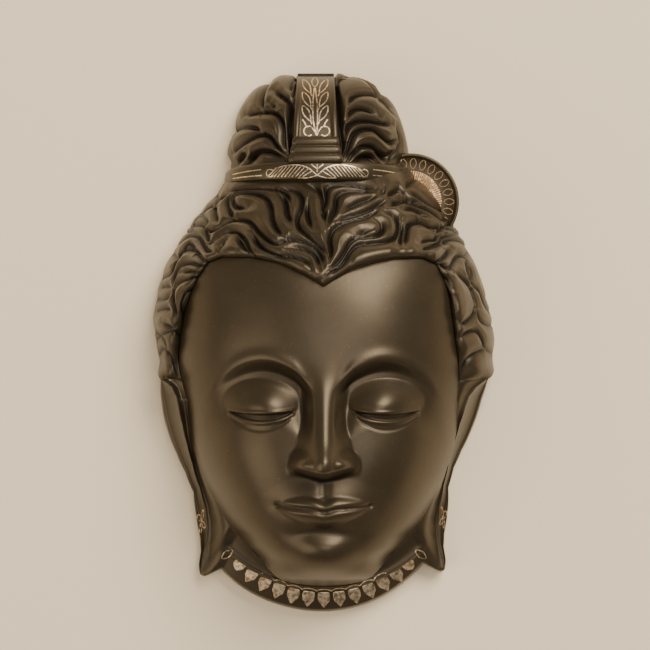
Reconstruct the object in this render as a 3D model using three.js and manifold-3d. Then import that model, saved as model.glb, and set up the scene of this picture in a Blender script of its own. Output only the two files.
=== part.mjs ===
// A bidriware Buddha head in half-round: one hollow casting in blackened zinc alloy, with silver sheet let into
// its collar and its hair medallion. Millimetres. It lies on its open back: X to the viewer's right, Y up the head,
// Z out of the back plane towards the viewer, with the origin under the middle of its outline.
import * as THREE from "three";
import { mergeVertices } from "three/addons/utils/BufferGeometryUtils.js";
import Module from "manifold-3d";

const wasm = await Module();
wasm.setup();

// Head
const headHalfWidth = 61.6; // hair, at its widest
const crownY = 71.8; // top of the hair under the topknot
const widestY = 2; // height of the widest level over the middle of the part
const hairDepth = 58; // of the hair dome over the back plane, along the middle
const faceCentreY = -20; // all polar angles of the head turn round this level
const wall = 4.5; // of the casting at its rim

// Face, on the canon of three equal parts from hairline to chin
const hairlineY = 27;
const chinY = -84;
const faceThird = (hairlineY - chinY) / 3;
const browY = hairlineY - faceThird;
const noseBaseY = browY - faceThird;
const eyeY = browY - faceThird * 0.3;
const mouthY = noseBaseY - faceThird / 3;
const faceWidth = 112; // from ear to ear at the eyes
const cheekHalf = 49; // half of what shows of it between the hair at the temples
const eyeWidth = faceWidth / 5; // the canon's five eyes across

// Hair
const lockDepth = 2.2;
const fringeStep = 3.4; // of the hair over the forehead
const fringeRound = 3.6; // over which the fringe rounds up from the forehead
const templeLean = 2.6; // the hair comes further in at the right temple, less far at the left
const lockWidth = 6.3; // along the surface
const fanLocks = 5; // that leave the widow's peak, on each side
const bandLocks = 8.5; // that they have become at the hair band
const waveLength = 28;
const waveSwing = 3;

// Topknot, strap and hair band
const knotX = -2.2; // the knot leans a little to the left
const knotHalfWidth = 32.4;
const knotBaseY = 60;
const knotRise = 38.1;
const knotDepth = 34.5;
const knotSquare = 2.3; // 2 would be a round section
const knotFoot = 6; // how far the knot's rounded foot reaches below its base
const knotLockWidth = 5.4;
const knotLockDepth = 1.8;
const strapWidth = 15.6;
const strapBorder = 2;
const strapX = -3;
const strapProud = 1.2; // over the knot
const borderProud = 0.7; // over the strap
const mouldingWidth = 18;
const mouldingHeight = 9;
const mouldingProud = 1.5;
const mouldingRidges = 3;
const bandHeight = 6.6; // at the front
const bandEndHeight = 3.4;
const bandProud = 1.6; // over the coil of hair that it ties
const bandCoil = 0.6; // how far that coil stands out beside the knot
const bandFootY = 58.4; // its lower edge

// Medallion at the side of the band
const medallionRadius = 17.8;
const medallionThickness = 3.6;
const medallionX = 31.9;
const medallionY = 51.4;
const medallionFrontZ = 12;
const medallionRimWidth = 1.2;
const medallionRimHeight = 0.5;
const medallionDish = 0.4; // depth of the shallow dish inside the rim

// Ears and collar
const earRidgeZ = 20; // front rim of the ear over the back plane
const earRimZ = 5; // back rim
const collarCentreY = -49.4; // of the collar's outer arc
const collarRadius = 50.6;
const collarInnerZ = 13.5; // of the collar's face along the neck
const collarOuterZ = 8.5; // and along its outer edge
const collarEdge = 1.8; // rounding of the outer edge

// Silver sheet
const sheetThickness = 0.8;
const sheetClearance = 0.3; // round each piece of silver in its pocket
const petalCount = 13;
const petalWidth = 4.5;
const petalLength = 6.6;
const petalStep = 7.3; // degrees round the collar's arc
const petalMiddleRadius = collarRadius - 5; // from the collar's centre to the middle of a petal

// Facets: the surfaces are worked out finely, then thinned out where they are smooth
const faceRings = 24;
const edgeRows = 26;
const earRows = 13; // of them, those that the ear takes
const knotSegments = 64;
const knotRings = 13;
const rowGap = 0.06; // between rows that only run along the back plane
const thinning = 0.38; // most that the thinning may move the surface

const deg = Math.PI / 180;
const clamp = (v, low, high) => Math.min(high, Math.max(low, v));
const mix = (a, b, t) => a + (b - a) * t;
const smooth = (a, b, v) => {
  const t = clamp((v - a) / (b - a), 0, 1);
  return t * t * (3 - 2 * t);
};
const bell = (v, width) => Math.exp(-((v / width) ** 2));
const bump = (q) => (1 - Math.min(1, q * q)) ** 2;

// A smooth curve through points [x, y] with x rising: cubic pieces with slopes from the neighbours.
function curveThrough(points) {
  const last = points.length - 1;
  const slopes = points.map((p, i) => {
    const before = points[Math.max(0, i - 1)];
    const after = points[Math.min(last, i + 1)];
    return (after[1] - before[1]) / (after[0] - before[0]);
  });
  return (at) => {
    const x = clamp(at, points[0][0], points[last][0]);
    let i = 0;
    while (i < last - 1 && x > points[i + 1][0]) i += 1;
    const span = points[i + 1][0] - points[i][0];
    const t = (x - points[i][0]) / span;
    const u = 1 - t;
    return (
      (1 + 2 * t) * u * u * points[i][1] +
      t * u * u * span * slopes[i] +
      t * t * (3 - 2 * t) * points[i + 1][1] -
      t * t * u * span * slopes[i + 1]
    );
  };
}

// Angle from the crown and radius about the middle of the face.
const polar = (x, y) => [Math.atan2(x, y - faceCentreY), Math.hypot(x, y - faceCentreY)];

// Radius of a half outline, given as points from the crown down to the chin, at an angle of either side.
function radiusOf(points) {
  const line = points.map(([x, y]) => polar(x, y));
  return (angle) => {
    const a = Math.abs(angle);
    let i = 0;
    while (i < line.length - 2 && a > line[i + 1][0]) i += 1;
    const t = clamp((a - line[i][0]) / (line[i + 1][0] - line[i][0]), 0, 1);
    return mix(line[i][1], line[i + 1][1], t);
  };
}

// The casting isn't quite the same on both sides: at the same angle the left side stands out by this much more
// than half way between the two, and the right side by as much less.
const leanPoints = [[0, 0], [0.5, -0.4], [0.66, 0.4], [0.9, 1.2], [1.12, 0.5], [1.4, -0.5], [1.6, 0.9], [1.9, 1.8],
  [2.1, 1.8], [2.3, 1.1], [2.5, 1], [2.7, 1.1], [2.95, 0.3], [Math.PI, 0]];
const leanCurve = curveThrough(leanPoints);
const lean = (angle) => -Math.sign(angle) * leanCurve(Math.abs(angle));

// Outline of the head: the hair, the ear down to its pointed lobe, the collar's arc.
function headOutline() {
  // Shares of the hair's half width, and of its rise from the widest level to the crown.
  const crown = [[0, 1], [0.23, 0.985], [0.42, 0.937], [0.535, 0.867], [0.625, 0.774], [0.698, 0.695], [0.763, 0.616],
    [0.821, 0.523], [0.873, 0.43], [0.916, 0.344], [0.951, 0.258], [0.977, 0.172], [0.994, 0.086], [1, 0]];
  const hair = crown.map(([wide, up]) => [headHalfWidth * wide, mix(widestY, crownY, up)]);
  hair.push([headHalfWidth * 0.994, widestY - 5], [headHalfWidth * 0.985, widestY - 9]);
  const ear = [[60.8, -11], [60.4, -17], [59.4, -22], [56.4, -33], [52.9, -41], [49.8, -47.7], [47.3, -55]];
  const lobe = [[46.7, -64], [45.3, -72], [45, -77], [45.8, -82], [45.2, -85.2], [43.6, -86.2], [41, -85]];
  const collar = [];
  for (let i = 0; i <= 40; i += 1) {
    const t = mix(-42, -90, i / 40) * deg;
    collar.push([collarRadius * Math.cos(t), collarCentreY + collarRadius * Math.sin(t)]);
  }
  return [...hair, ...ear, ...lobe, ...collar];
}
const evenOutline = radiusOf(headOutline());
const outlineRadius = (angle) => evenOutline(angle) + lean(angle);

// Border of the smooth face: widow's peak, hairline, temple, front of the ear, jaw, inner edge of the collar.
const hairline = [[0, 19.8], [5, 23], [10, 25.8], [18, 28.7], [28, 30.1], [36, 30.2], [41, 28], [44.6, 22]];
const temple = [[47.6, 13], [49.6, 2], [50.8, -9], [cheekHalf, eyeY]];
const ovalShares = [[0.27, 0.965], [0.42, 0.905], [0.58, 0.81], [0.72, 0.705], [0.84, 0.58], [0.93, 0.47]];
const cheekAndJaw = ovalShares.map(([down, wide]) => [cheekHalf * wide, mix(eyeY, chinY, down)]);
const creaseY = -39.3; // centre of the arc where the neck meets the collar
const creaseRadius = 49.9;
const crease = [15, 8, 0].map((x) => [x, creaseY - Math.sqrt(creaseRadius ** 2 - x * x)]);
const faceLine = radiusOf([...hairline, ...temple, ...cheekAndJaw, ...crease]);
const faceRadius = (angle) => faceLine(angle) - templeLean * Math.sign(angle) * bell(Math.abs(angle) - 1.15, 0.4);

// Front rim of the ear, from the top of the ear to the point of the lobe.
const earTop = [[61.4, -13], [58, -14.6], [55.5, -16.6], [53.3, -20], [52.3, -23.5], [50.6, -30], [48.8, -37]];
const earFoot = [[47, -44], [44.8, -53], [43, -61], [42.5, -68], [43, -74], [44.2, -80], [45, -85]];
const evenRidge = radiusOf([...earTop, ...earFoot]);
const earRadius = (angle) => evenRidge(angle) + lean(angle) * 0.7;
const earStart = polar(...earTop[0])[0];
const earEnd = polar(...earFoot[earFoot.length - 1])[0];

// The face without its features: a half-round section at every level.
const faceHalf = curveThrough([[-92, 20], [-86, 24.5],
  ...cheekAndJaw.map(([x, y]) => [y, x * 1.06]).reverse(), [eyeY, cheekHalf * 1.09], [-5, 57], [13, 57], [30, 58]]);
const faceDepth = curveThrough([[-90, 14], [-88, 24], [-85, 37], [-80, 45.5], [-70, 50.5], [-55, 53.5], [-35, 55.5],
  [-12, 56.5], [8, 56.5], [24, 53.5], [40, 46]]);
const faceForm = (x, y) => {
  const q = Math.min(1, Math.abs(x) / faceHalf(y));
  return faceDepth(y) * Math.sqrt(1 - q ** 2.35);
};

// Brows and eye sockets, with the lowered lids.
const browLine = curveThrough([[0, -9], [5, -5], [11, 0.5], [20, 3.7], [29, 2.4], [37, -2.5], [43, -9]]);
function eyes(x, y) {
  const ax = Math.abs(x);
  const below = browY + browLine(ax) - y;
  const across = smooth(3, 9, ax) * (1 - smooth(33, 42, ax));
  const socket = smooth(-0.4, 4.6, below) * (1 - smooth(9, 24, below));
  const u = (ax - eyeWidth) / (eyeWidth * 0.545);
  const inside = clamp(1 - u * u, 0, 1);
  const ball = 1 - ((ax - eyeWidth) / (eyeWidth * 0.625)) ** 2 - ((y - eyeY) / 8.4) ** 2;
  const lidEdge = eyeY - 3.2 - 1.1 * inside;
  const lowerEdge = eyeY - 3.2 - 3.9 * inside ** 0.8;
  const slit = smooth(0, 0.5, lidEdge - y) * smooth(0, 0.5, y - lowerEdge) * smooth(0, 0.12, inside);
  const proudBrow = 0.7 * bell(below + 1.2, 2.4) * smooth(4, 10, ax) * (1 - smooth(32, 42, ax));
  return proudBrow + 4.6 * Math.max(0, ball) ** 0.62 - socket * across * (5.6 - 2.4 * smooth(10, 34, ax)) - 1.1 * slit;
}

// Nose: a ridge that widens to the wings, cut off under the tip.
const noseRidge = curveThrough([[-5.2, 12.5], [3, 12.8], [7, 11.6], [17, 7.4], [27, 3.6], [34, 1.2], [40, 0]]);
const noseHalf = curveThrough([[-5.2, 12.2], [3, 12], [9, 9.6], [19, 7.4], [29, 6.2], [37, 7.5], [41, 9]]);
function nose(x, y) {
  const ax = Math.abs(x);
  const up = y - noseBaseY;
  const under = smooth(-1.6, 2.6, up + 1.1 * bell(ax, 4) - 0.9 * smooth(4, 10, ax));
  const body = clamp(1 - (ax / noseHalf(up)) ** 2, 0, 1) ** 1.35;
  const tip = 1.6 * Math.exp(-((ax / 4.6) ** 2) - ((up - 4.8) / 4.2) ** 2);
  const wing = 3.8 * bump(Math.hypot((ax - 8.3) / 5.2, (up - 4.2) / 5.6));
  return (noseRidge(up) * body + tip + wing) * under;
}

// Mouth, chin and cheeks.
const mouthHalf = (eyeWidth * 1.5) / 2;
function mouthAndChin(x, y) {
  const ax = Math.abs(x);
  const m = clamp(1 - (ax / mouthHalf) ** 2, 0, 1);
  const seam = mouthY - 0.9 * bell(ax, 3.2) + 1.3 * (ax / mouthHalf) ** 2;
  const upper = 4.6 * m ** 0.75 - 1.1 * bell(ax, 2.4) + 0.3;
  const lower = 5.6 * m ** 0.6;
  const part = y > seam ? (y - seam) / upper : (seam - y) / Math.max(lower, 0.01);
  const lip = (y > seam ? 2.3 : 2.6) * m ** 0.8 * Math.max(0, 1 - part ** 2.2) ** 0.55;
  const swell = 2.6 * bump(Math.hypot(ax / 25, (y - mouthY) / 12.5));
  const groove = 1.5 * bell(y - seam, 0.9) * smooth(-0.05, 0.25, 1.12 - (ax / mouthHalf) ** 2);
  const underLip = 1.5 * bell(ax, 11) * bell(y - mouthY + 8.4, 2.6);
  const chin = 3 * bump(Math.hypot(ax / 15.5, (y - chinY - 8.5) / 9.5));
  const cheek = 1.9 * bump(Math.hypot((ax - 27) / 21, (y - noseBaseY - 4) / 20));
  return lip + swell - groove - underLip + chin + cheek;
}
const faceZ = (x, y) => faceForm(x, y) + eyes(x, y) + nose(x, y) + mouthAndChin(x, y);

// The parts outside the face, each as a height at an angle and a radius.
function domeZ(angle, radius) {
  const q = Math.min(1, radius / outlineRadius(angle));
  return hairDepth * Math.sqrt(1 - q ** 2.2);
}
function hairZ(angle, radius) {
  const inner = faceRadius(angle);
  const x = inner * Math.sin(angle);
  const y = faceCentreY + inner * Math.cos(angle);
  const slope = (faceForm(Math.abs(x) + 0.5, y) - faceForm(Math.abs(x) - 0.5, y));
  const edge = Math.sin(clamp((radius - inner) / fringeRound, 0, 1) * (Math.PI / 2));
  const step = fringeStep * mix(1, 0.15, smooth(earStart - 0.5, earStart, Math.abs(angle)));
  const lift = faceForm(x, y) + step * Math.hypot(1, slope) * edge - domeZ(angle, inner);
  return domeZ(angle, radius) + lift * (1 - smooth(0, 0.6, (radius - inner) / (outlineRadius(angle) - inner)));
}

function earZ(angle, radius, innerZ) {
  const inner = faceRadius(angle);
  const ridge = earRadius(angle);
  const outer = outlineRadius(angle);
  const down = smooth(earStart, earEnd, Math.abs(angle));
  const ridgeZ = mix(earRidgeZ + 2, 8, down ** 1.3);
  const valley = mix(1, 3.4, smooth(0.2, 0.6, down));
  if (radius < ridge) {
    const t = clamp((radius - inner) / (ridge - inner), 0, 1);
    return mix(innerZ, ridgeZ, smooth(0.2, 1, t)) - valley * Math.sin(Math.PI * t) ** 1.4;
  }
  const t = clamp((radius - ridge) / (outer - ridge), 0, 1);
  const hollow = mix(ridgeZ, Math.min(earRimZ, ridgeZ * 0.7), 1 - (1 - t) ** 1.7);
  return (hollow + 0.9 * bell(t - 0.84, 0.1)) * Math.sqrt(1 - smooth(0.88, 1, t));
}

function collarZ(angle, radius) {
  const inner = faceRadius(angle);
  const outer = outlineRadius(angle);
  const t = clamp((radius - inner) / (outer - inner), 0, 1);
  const edge = clamp((radius - outer + collarEdge) / collarEdge, 0, 1);
  const bead = 0.8 * bell(radius - inner - 1.3, 0.7);
  return mix(collarInnerZ, collarOuterZ, t) * Math.sqrt(1 - edge ** 2.4) + bead;
}

// Lengths along the bare hair dome at one angle, from the fringe to the back plane.
function meridian(angle) {
  const inner = faceRadius(angle);
  const outer = outlineRadius(angle);
  const points = [];
  let length = 0;
  for (let i = 0; i <= 60; i += 1) {
    const radius = inner + (outer - inner) * Math.sin((i / 60) * (Math.PI / 2));
    const z = hairZ(angle, radius);
    if (i > 0) length += Math.hypot(radius - points[i - 1].radius, z - points[i - 1].z);
    points.push({ radius, z, length });
  }
  const radiusAt = (s) => {
    let i = 0;
    while (i < points.length - 2 && s > points[i + 1].length) i += 1;
    const [p, q] = [points[i], points[i + 1]];
    return mix(p.radius, q.radius, clamp((s - p.length) / (q.length - p.length), 0, 1));
  };
  return { length, radiusAt };
}

// The wave of the locks, and the count of locks from the fringe out to a place: whole numbers are the grooves.
function waveAt(angle, out) {
  const run = Math.abs(angle) * headHalfWidth;
  const side = angle < 0 ? 0 : 1.1;
  const phase = (2 * Math.PI * (run + out * 0.4)) / waveLength + 1.3 + side + 0.9 * Math.sin(out / 9);
  return waveSwing * smooth(0, 7, out) * smooth(8, 24, run) * Math.sin(phase);
}
function lockCount(angle, radius, out) {
  const x = Math.abs(radius * Math.sin(angle));
  const rise = faceCentreY + radius * Math.cos(angle) - hairline[0][1];
  const away = Math.hypot(x, rise);
  const fan = clamp((Math.atan2(rise, x) - 0.45) / (Math.PI / 2 - 0.45), 0, 1);
  const sway = 0.5 * Math.sin(away / 4.4 + (angle < 0 ? 0.4 : 1.5)) * smooth(5, 14, away) * smooth(1, 0.8, fan);
  const fanned = mix(fanLocks, bandLocks, smooth(6, 40, away)) * fan + sway;
  return mix(fanned, (out + waveAt(angle, out)) / lockWidth, smooth(16, 46, away));
}
function lockHeight(count) {
  const across = 2 * (count - Math.floor(count)) - 1;
  return lockDepth * (1 - across * across) ** 0.6;
}

// A closed solid from rings of points that share one count, from a single middle point out to the back plane.
function domeSolid(centre, rings) {
  const count = rings[0].length;
  const points = [centre, ...rings.flat(), [centre[0], centre[1], 0]];
  const faces = [];
  for (let i = 0; i < count; i += 1) {
    const j = (i + 1) % count;
    faces.push(0, 1 + j, 1 + i);
    for (let ring = 0; ring < rings.length - 1; ring += 1) {
      const a = 1 + ring * count;
      const b = a + count;
      faces.push(a + i, a + j, b + j, a + i, b + j, b + i);
    }
    const rim = 1 + (rings.length - 1) * count;
    faces.push(rim + i, rim + j, points.length - 1);
  }
  const geometry = new THREE.BufferGeometry();
  geometry.setAttribute("position", new THREE.Float32BufferAttribute(points.flat(), 3));
  geometry.setIndex(faces);
  return geometry;
}

// A point of the carved hair: the dome pushed out along its own normal by the locks.
function hairPoint(angle, radius, out) {
  const at = (a, r) => new THREE.Vector3(r * Math.sin(a), faceCentreY + r * Math.cos(a), hairZ(a, r));
  const here = at(angle, radius);
  const along = at(angle + 0.01, radius).sub(at(angle - 0.01, radius));
  const inwards = at(angle, radius - 0.2).sub(here);
  const normal = inwards.cross(along).normalize();
  if (normal.z < 0) normal.negate();
  const lift = (lockHeight(lockCount(angle, radius, out)) - lockDepth / 2) * smooth(0, fringeRound * 0.7, out);
  return here.addScaledVector(normal, lift).toArray();
}

const earBlend = 0.08; // radians over which the hair gives way to the ear
// Share of the ear and of the collar at an angle from the crown; the hair has the rest.
const earShare = (a) => smooth(earStart - earBlend, earStart + 0.03, a) * (1 - smooth(earEnd - 0.02, earEnd + 0.05, a));
const collarShare = (a) => smooth(earEnd - 0.02, earEnd + 0.05, a);

// One meridian of the head outside the face: a column of points from the face's border to the back plane.
function edgeColumn(angle) {
  const a = Math.abs(angle);
  const inner = faceRadius(angle);
  const outer = outlineRadius(angle);
  const column = [];
  if (a < earStart - earBlend) {
    const { length, radiusAt } = meridian(angle);
    for (let row = 0; row < edgeRows; row += 1) {
      let out = (row * lockWidth) / 2;
      for (let i = 0; i < 3; i += 1) out = (row * lockWidth) / 2 - waveAt(angle, Math.max(0, out));
      out = Math.min(Math.max(out, row * rowGap), length - (edgeRows - row) * rowGap);
      column.push(hairPoint(angle, radiusAt(out), out));
    }
    const rim = outer + (lockHeight(lockCount(angle, outer, length)) - lockDepth / 2) * 0.6;
    column.push([rim * Math.sin(angle), faceCentreY + rim * Math.cos(angle), 0]);
  } else {
    const innerZ = faceZ(inner * Math.sin(angle), faceCentreY + inner * Math.cos(angle));
    const ridge = earRadius(angle);
    const used = Math.round(mix(earRows, edgeRows - 4, collarShare(a)));
    const frontRows = 5;
    for (let row = 0; row < edgeRows; row += 1) {
      const share = clamp(row / used, 0, 1);
      const onEar = row < frontRows ? mix(inner, ridge, row / frontRows)
        : mix(ridge, outer, clamp((row - frontRows) / (used - frontRows), 0, 1));
      const onCollar = mix(inner, outer, 1 - (1 - share) ** 1.5);
      const radius = Math.min(mix(onEar, onCollar, collarShare(a)), outer - (edgeRows - row) * rowGap * 0.5);
      const z = (1 - earShare(a) - collarShare(a)) * hairZ(angle, radius) +
        earShare(a) * earZ(angle, radius, innerZ) + collarShare(a) * collarZ(angle, radius);
      column.push([
        radius * Math.sin(angle), faceCentreY + radius * Math.cos(angle), Math.max((edgeRows - row) * rowGap, z)]);
    }
    column.push([outer * Math.sin(angle), faceCentreY + outer * Math.cos(angle), 0]);
  }
  return column;
}

// Angles of the columns: closer over the forehead's locks and round the lobes. Each stretch ends at an angle
// from the crown, in degrees, and has a number of steps.
const stretches = [[36, 24], [84, 20], [138, 15], [153, 9], [180, 8]];
function columnAngles() {
  const half = [];
  let from = 0;
  for (const [to, steps] of stretches) {
    for (let i = 0; i < steps; i += 1) half.push(mix(from, to, i / steps) * deg);
    from = to;
  }
  return [...half.slice(1).reverse().map((a) => -a), ...half, Math.PI];
}

function headSolid() {
  const angles = columnAngles();
  const rings = [];
  for (let ring = 1; ring <= faceRings; ring += 1) {
    const share = (ring / (faceRings + 0.12)) ** 0.92;
    rings.push(angles.map((angle) => {
      const radius = faceRadius(angle) * share;
      const x = radius * Math.sin(angle);
      const y = faceCentreY + radius * Math.cos(angle);
      return [x, y, faceZ(x, y)];
    }));
  }
  const columns = angles.map(edgeColumn);
  for (let row = 0; row <= edgeRows; row += 1) rings.push(columns.map((column) => column[row]));
  return domeSolid([0, faceCentreY, faceZ(0, faceCentreY)], rings);
}

// Height of the bare topknot over a point, and the locks carved on it, nested about the corner of each side.
function knotForm(x, y) {
  const v = Math.min(1, Math.abs(y - knotBaseY) / (y > knotBaseY ? knotRise : knotFoot));
  const half = knotHalfWidth * (1 - v ** 2) ** 0.3;
  const u = half > 0 ? Math.min(1, Math.abs(x - knotX) / half) : 1;
  return knotDepth * Math.sqrt((1 - v ** 2.9) * (1 - u ** knotSquare));
}
function knotLocks(x, y) {
  const dx = knotHalfWidth - 2 - Math.abs(x - knotX);
  const dy = (y - knotBaseY + 2) * 0.92;
  const turn = Math.atan2(dy, dx);
  const lines = (Math.hypot(dx, dy) + 1.1 * Math.sin(turn * 4 + (x < knotX ? 0.6 : 2.2))) / knotLockWidth;
  const f = 2 * (lines - Math.floor(lines)) - 1;
  return knotLockDepth * (1 - f * f) ** 0.6;
}

function knotSolid() {
  const centre = new THREE.Vector3(knotX, knotBaseY + 8, 0);
  const reach = (angle) => {
    let near = 0;
    let far = 60;
    for (let i = 0; i < 24; i += 1) {
      const r = (near + far) / 2;
      if (knotForm(centre.x + r * Math.sin(angle), centre.y + r * Math.cos(angle)) > 0) near = r;
      else far = r;
    }
    return near;
  };
  const angles = Array.from({ length: knotSegments }, (_, i) => (i / knotSegments) * 2 * Math.PI);
  const reaches = angles.map(reach);
  const rings = [];
  for (let ring = 1; ring <= knotRings; ring += 1) {
    const share = Math.sin((ring / knotRings) * (Math.PI / 2));
    rings.push(angles.map((angle, i) => {
      const x = centre.x + reaches[i] * share * Math.sin(angle);
      const y = centre.y + reaches[i] * share * Math.cos(angle);
      const z = ring === knotRings ? 0 : knotForm(x, y);
      const lift = knotLocks(x, y) - knotLockDepth / 2;
      const out = new THREE.Vector3(x - centre.x, y - centre.y, ring === knotRings ? 0 : z).normalize();
      return [x + out.x * lift, y + out.y * lift, z + out.z * lift];
    }));
  }
  return domeSolid([centre.x, centre.y, knotForm(centre.x, centre.y)], rings);
}

// A slab across the knot whose front follows the knot's middle line, from one height to another.
function knotSlab(width, fromY, toY, proud) {
  const steps = 18;
  const front = [];
  for (let i = 0; i <= steps; i += 1) {
    const y = mix(fromY, toY, Math.sin((i / steps) * (Math.PI / 2)));
    front.push(new THREE.Vector2(y, knotForm(knotX, Math.min(y, knotBaseY + knotRise - 0.01)) + proud(y)));
  }
  const outline = [...front, new THREE.Vector2(toY, 0), new THREE.Vector2(fromY, 0)];
  const slab = new THREE.ExtrudeGeometry(new THREE.Shape(outline), { depth: width, bevelEnabled: false });
  slab.translate(0, 0, -width / 2);
  // The outline's own x runs up the head and its y out of the back; the depth runs across.
  const across = new THREE.Matrix4().makeBasis(
    new THREE.Vector3(0, 1, 0), new THREE.Vector3(0, 0, 1), new THREE.Vector3(1, 0, 0));
  return slab.applyMatrix4(across).translate(strapX, 0, 0);
}

function strapParts() {
  const bottom = bandFootY + bandHeight + mouldingHeight - 0.5;
  const top = knotBaseY + knotRise + strapProud;
  const parts = [knotSlab(strapWidth, bottom, top, () => strapProud)];
  for (const side of [-1, 1]) {
    const border = knotSlab(strapBorder, bottom, top + borderProud, () => strapProud + borderProud);
    parts.push(border.translate((side * (strapWidth - strapBorder)) / 2, 0, 0));
  }
  const ridge = (y) => 0.8 * Math.abs(Math.sin(((y - bottom) / mouldingHeight) * Math.PI * mouldingRidges));
  parts.push(knotSlab(mouldingWidth, bottom - mouldingHeight, bottom + 0.4, (y) => mouldingProud + ridge(y)));
  return parts;
}

// A closed solid through cross-sections that all have the same number of corners.
function sweptSolid(sections) {
  const count = sections[0].length;
  const faces = [];
  for (let i = 0; i < sections.length - 1; i += 1) {
    for (let j = 0; j < count; j += 1) {
      const a = i * count + j;
      const b = i * count + ((j + 1) % count);
      faces.push(a, b, b + count, a, b + count, a + count);
    }
  }
  const end = (sections.length - 1) * count;
  for (let j = 1; j < count - 1; j += 1) faces.push(0, j + 1, j, end, end + j, end + j + 1);
  const geometry = new THREE.BufferGeometry();
  geometry.setAttribute("position", new THREE.Float32BufferAttribute(sections.flat(2), 3));
  geometry.setIndex(faces);
  return geometry;
}

// The hair band: a crescent with a rounded front, led round the foot of the topknot.
function bandSolid() {
  const sections = [];
  const half = knotHalfWidth + bandCoil;
  for (let i = 0; i <= 40; i += 1) {
    const t = mix(-6, 186, i / 40) * deg;
    const height = mix(bandEndHeight, bandHeight, Math.max(0, Math.sin(t)) ** 0.8);
    const out = new THREE.Vector2(-Math.cos(t) * knotDepth, Math.sin(t) * half).normalize();
    const along = (v) => Math.sign(v) * Math.abs(v) ** (2 / knotSquare);
    const corner = (proud, up) => [
      knotX - half * along(Math.cos(t)) + out.x * proud,
      bandFootY + height * up,
      knotDepth * along(Math.sin(t)) + out.y * proud,
    ];
    sections.push([
      corner(-3, 0), corner(-3, 1), corner(bandProud * 0.6, 1), corner(bandProud, 0.8), corner(bandProud * 1.1, 0.5),
      corner(bandProud, 0.2), corner(bandProud * 0.6, 0)]);
  }
  return sweptSolid(sections);
}

function medallionSolid() {
  const rim = medallionRadius - medallionRimWidth;
  const profile = [
    [0, -medallionThickness], [medallionRadius - 0.8, -medallionThickness], [medallionRadius, -medallionThickness + 0.8],
    [medallionRadius, -0.2], [medallionRadius - 0.4, medallionRimHeight], [rim, medallionRimHeight], [rim - 0.3, 0],
    [rim * 0.7, -medallionDish], [0, -medallionDish],
  ].map(([r, z]) => new THREE.Vector2(r, z));
  return new THREE.LatheGeometry(profile, 48).rotateX(Math.PI / 2)
    .translate(medallionX, medallionY, medallionFrontZ);
}

// The hollow at the back: a plain dome inside the head, and one inside the topknot.
function headHollow() {
  const depth = 46;
  const segments = 44;
  const rings = 8;
  const inset = (angle) => {
    const a = Math.abs(angle);
    const hair = outlineRadius(angle) - wall;
    const face = faceRadius(angle) - wall * 0.7;
    return mix(hair, Math.min(hair, face), smooth(earStart - 0.5, earStart + 0.1, a));
  };
  const angles = Array.from({ length: segments }, (_, i) => (i / segments) * 2 * Math.PI - Math.PI);
  const made = [];
  for (let ring = 1; ring <= rings; ring += 1) {
    const share = Math.sin((ring / rings) * (Math.PI / 2));
    made.push(angles.map((angle) => {
      const radius = inset(angle) * share;
      return [radius * Math.sin(angle), faceCentreY + radius * Math.cos(angle), depth * Math.sqrt(1 - share ** 2.3)];
    }));
  }
  return domeSolid([0, faceCentreY, depth], made);
}
function knotHollow() {
  const shape = new THREE.SphereGeometry(1, 28, 14);
  return shape.scale(knotHalfWidth - wall - 4, knotRise - wall + 3, knotDepth - wall - 5)
    .translate(knotX, knotBaseY - 7, 0);
}

// A petal as a flat outline, its tip at the bottom.
function petalShape(grow) {
  const w = petalWidth / 2 + grow;
  const top = petalLength / 2 + grow;
  const tip = -petalLength / 2 - grow * 1.4;
  const shape = new THREE.Shape();
  shape.moveTo(-w * 0.72, top);
  shape.lineTo(w * 0.72, top);
  shape.lineTo(w, top * 0.2);
  shape.lineTo(w * 0.8, tip * 0.42);
  shape.lineTo(0, tip);
  shape.lineTo(-w * 0.8, tip * 0.42);
  shape.lineTo(-w, top * 0.2);
  return shape;
}

// Places a flat piece on the collar: its back `depth` under the collar's face, leaning with the face.
function onCollar(geometry, index) {
  const turn = (index - (petalCount - 1) / 2) * petalStep * deg;
  const x = petalMiddleRadius * Math.sin(turn);
  const y = collarCentreY - petalMiddleRadius * Math.cos(turn);
  const [angle, radius] = polar(x, y);
  const z = collarZ(angle, radius);
  const fall = Math.atan2(collarZ(angle, radius - 1.5) - collarZ(angle, radius + 1.5), 3);
  return geometry.rotateX(fall).rotateZ(turn).translate(x, y, z);
}
function petalPlate(index, grow, back, front) {
  const plate = new THREE.ExtrudeGeometry(petalShape(grow), { depth: back + front, bevelEnabled: false });
  return onCollar(plate.translate(0, 0, -back), index);
}

function solidOf(geometry) {
  const bare = geometry.clone();
  for (const name of Object.keys(bare.attributes)) if (name !== "position") bare.deleteAttribute(name);
  const merged = mergeVertices(bare, 1e-4);
  const mesh = new wasm.Mesh({
    numProp: 3,
    vertProperties: merged.attributes.position.array,
    triVerts: new Uint32Array(merged.index.array),
  });
  return new wasm.Manifold(mesh);
}
function geometryOf(solid) {
  const mesh = solid.getMesh();
  const geometry = new THREE.BufferGeometry();
  geometry.setAttribute("position", new THREE.Float32BufferAttribute(mesh.vertProperties, 3));
  geometry.setIndex(Array.from(mesh.triVerts));
  geometry.computeVertexNormals();
  return geometry;
}
const joined = (parts) => parts.map(solidOf).reduce((all, part) => all.add(part));

// Where two surfaces graze each other a cut can leave a crumb far smaller than any real form.
const crumb = 1; // cubic millimetres
const withoutCrumbs = (solid) =>
  solid.decompose().filter((part) => part.volume() > crumb).reduce((all, part) => all.add(part));

// Everything below the back plane goes, so that the rim stands flat.
const underBack = new THREE.BoxGeometry(300, 300, 60).translate(0, 0, -30);

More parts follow.
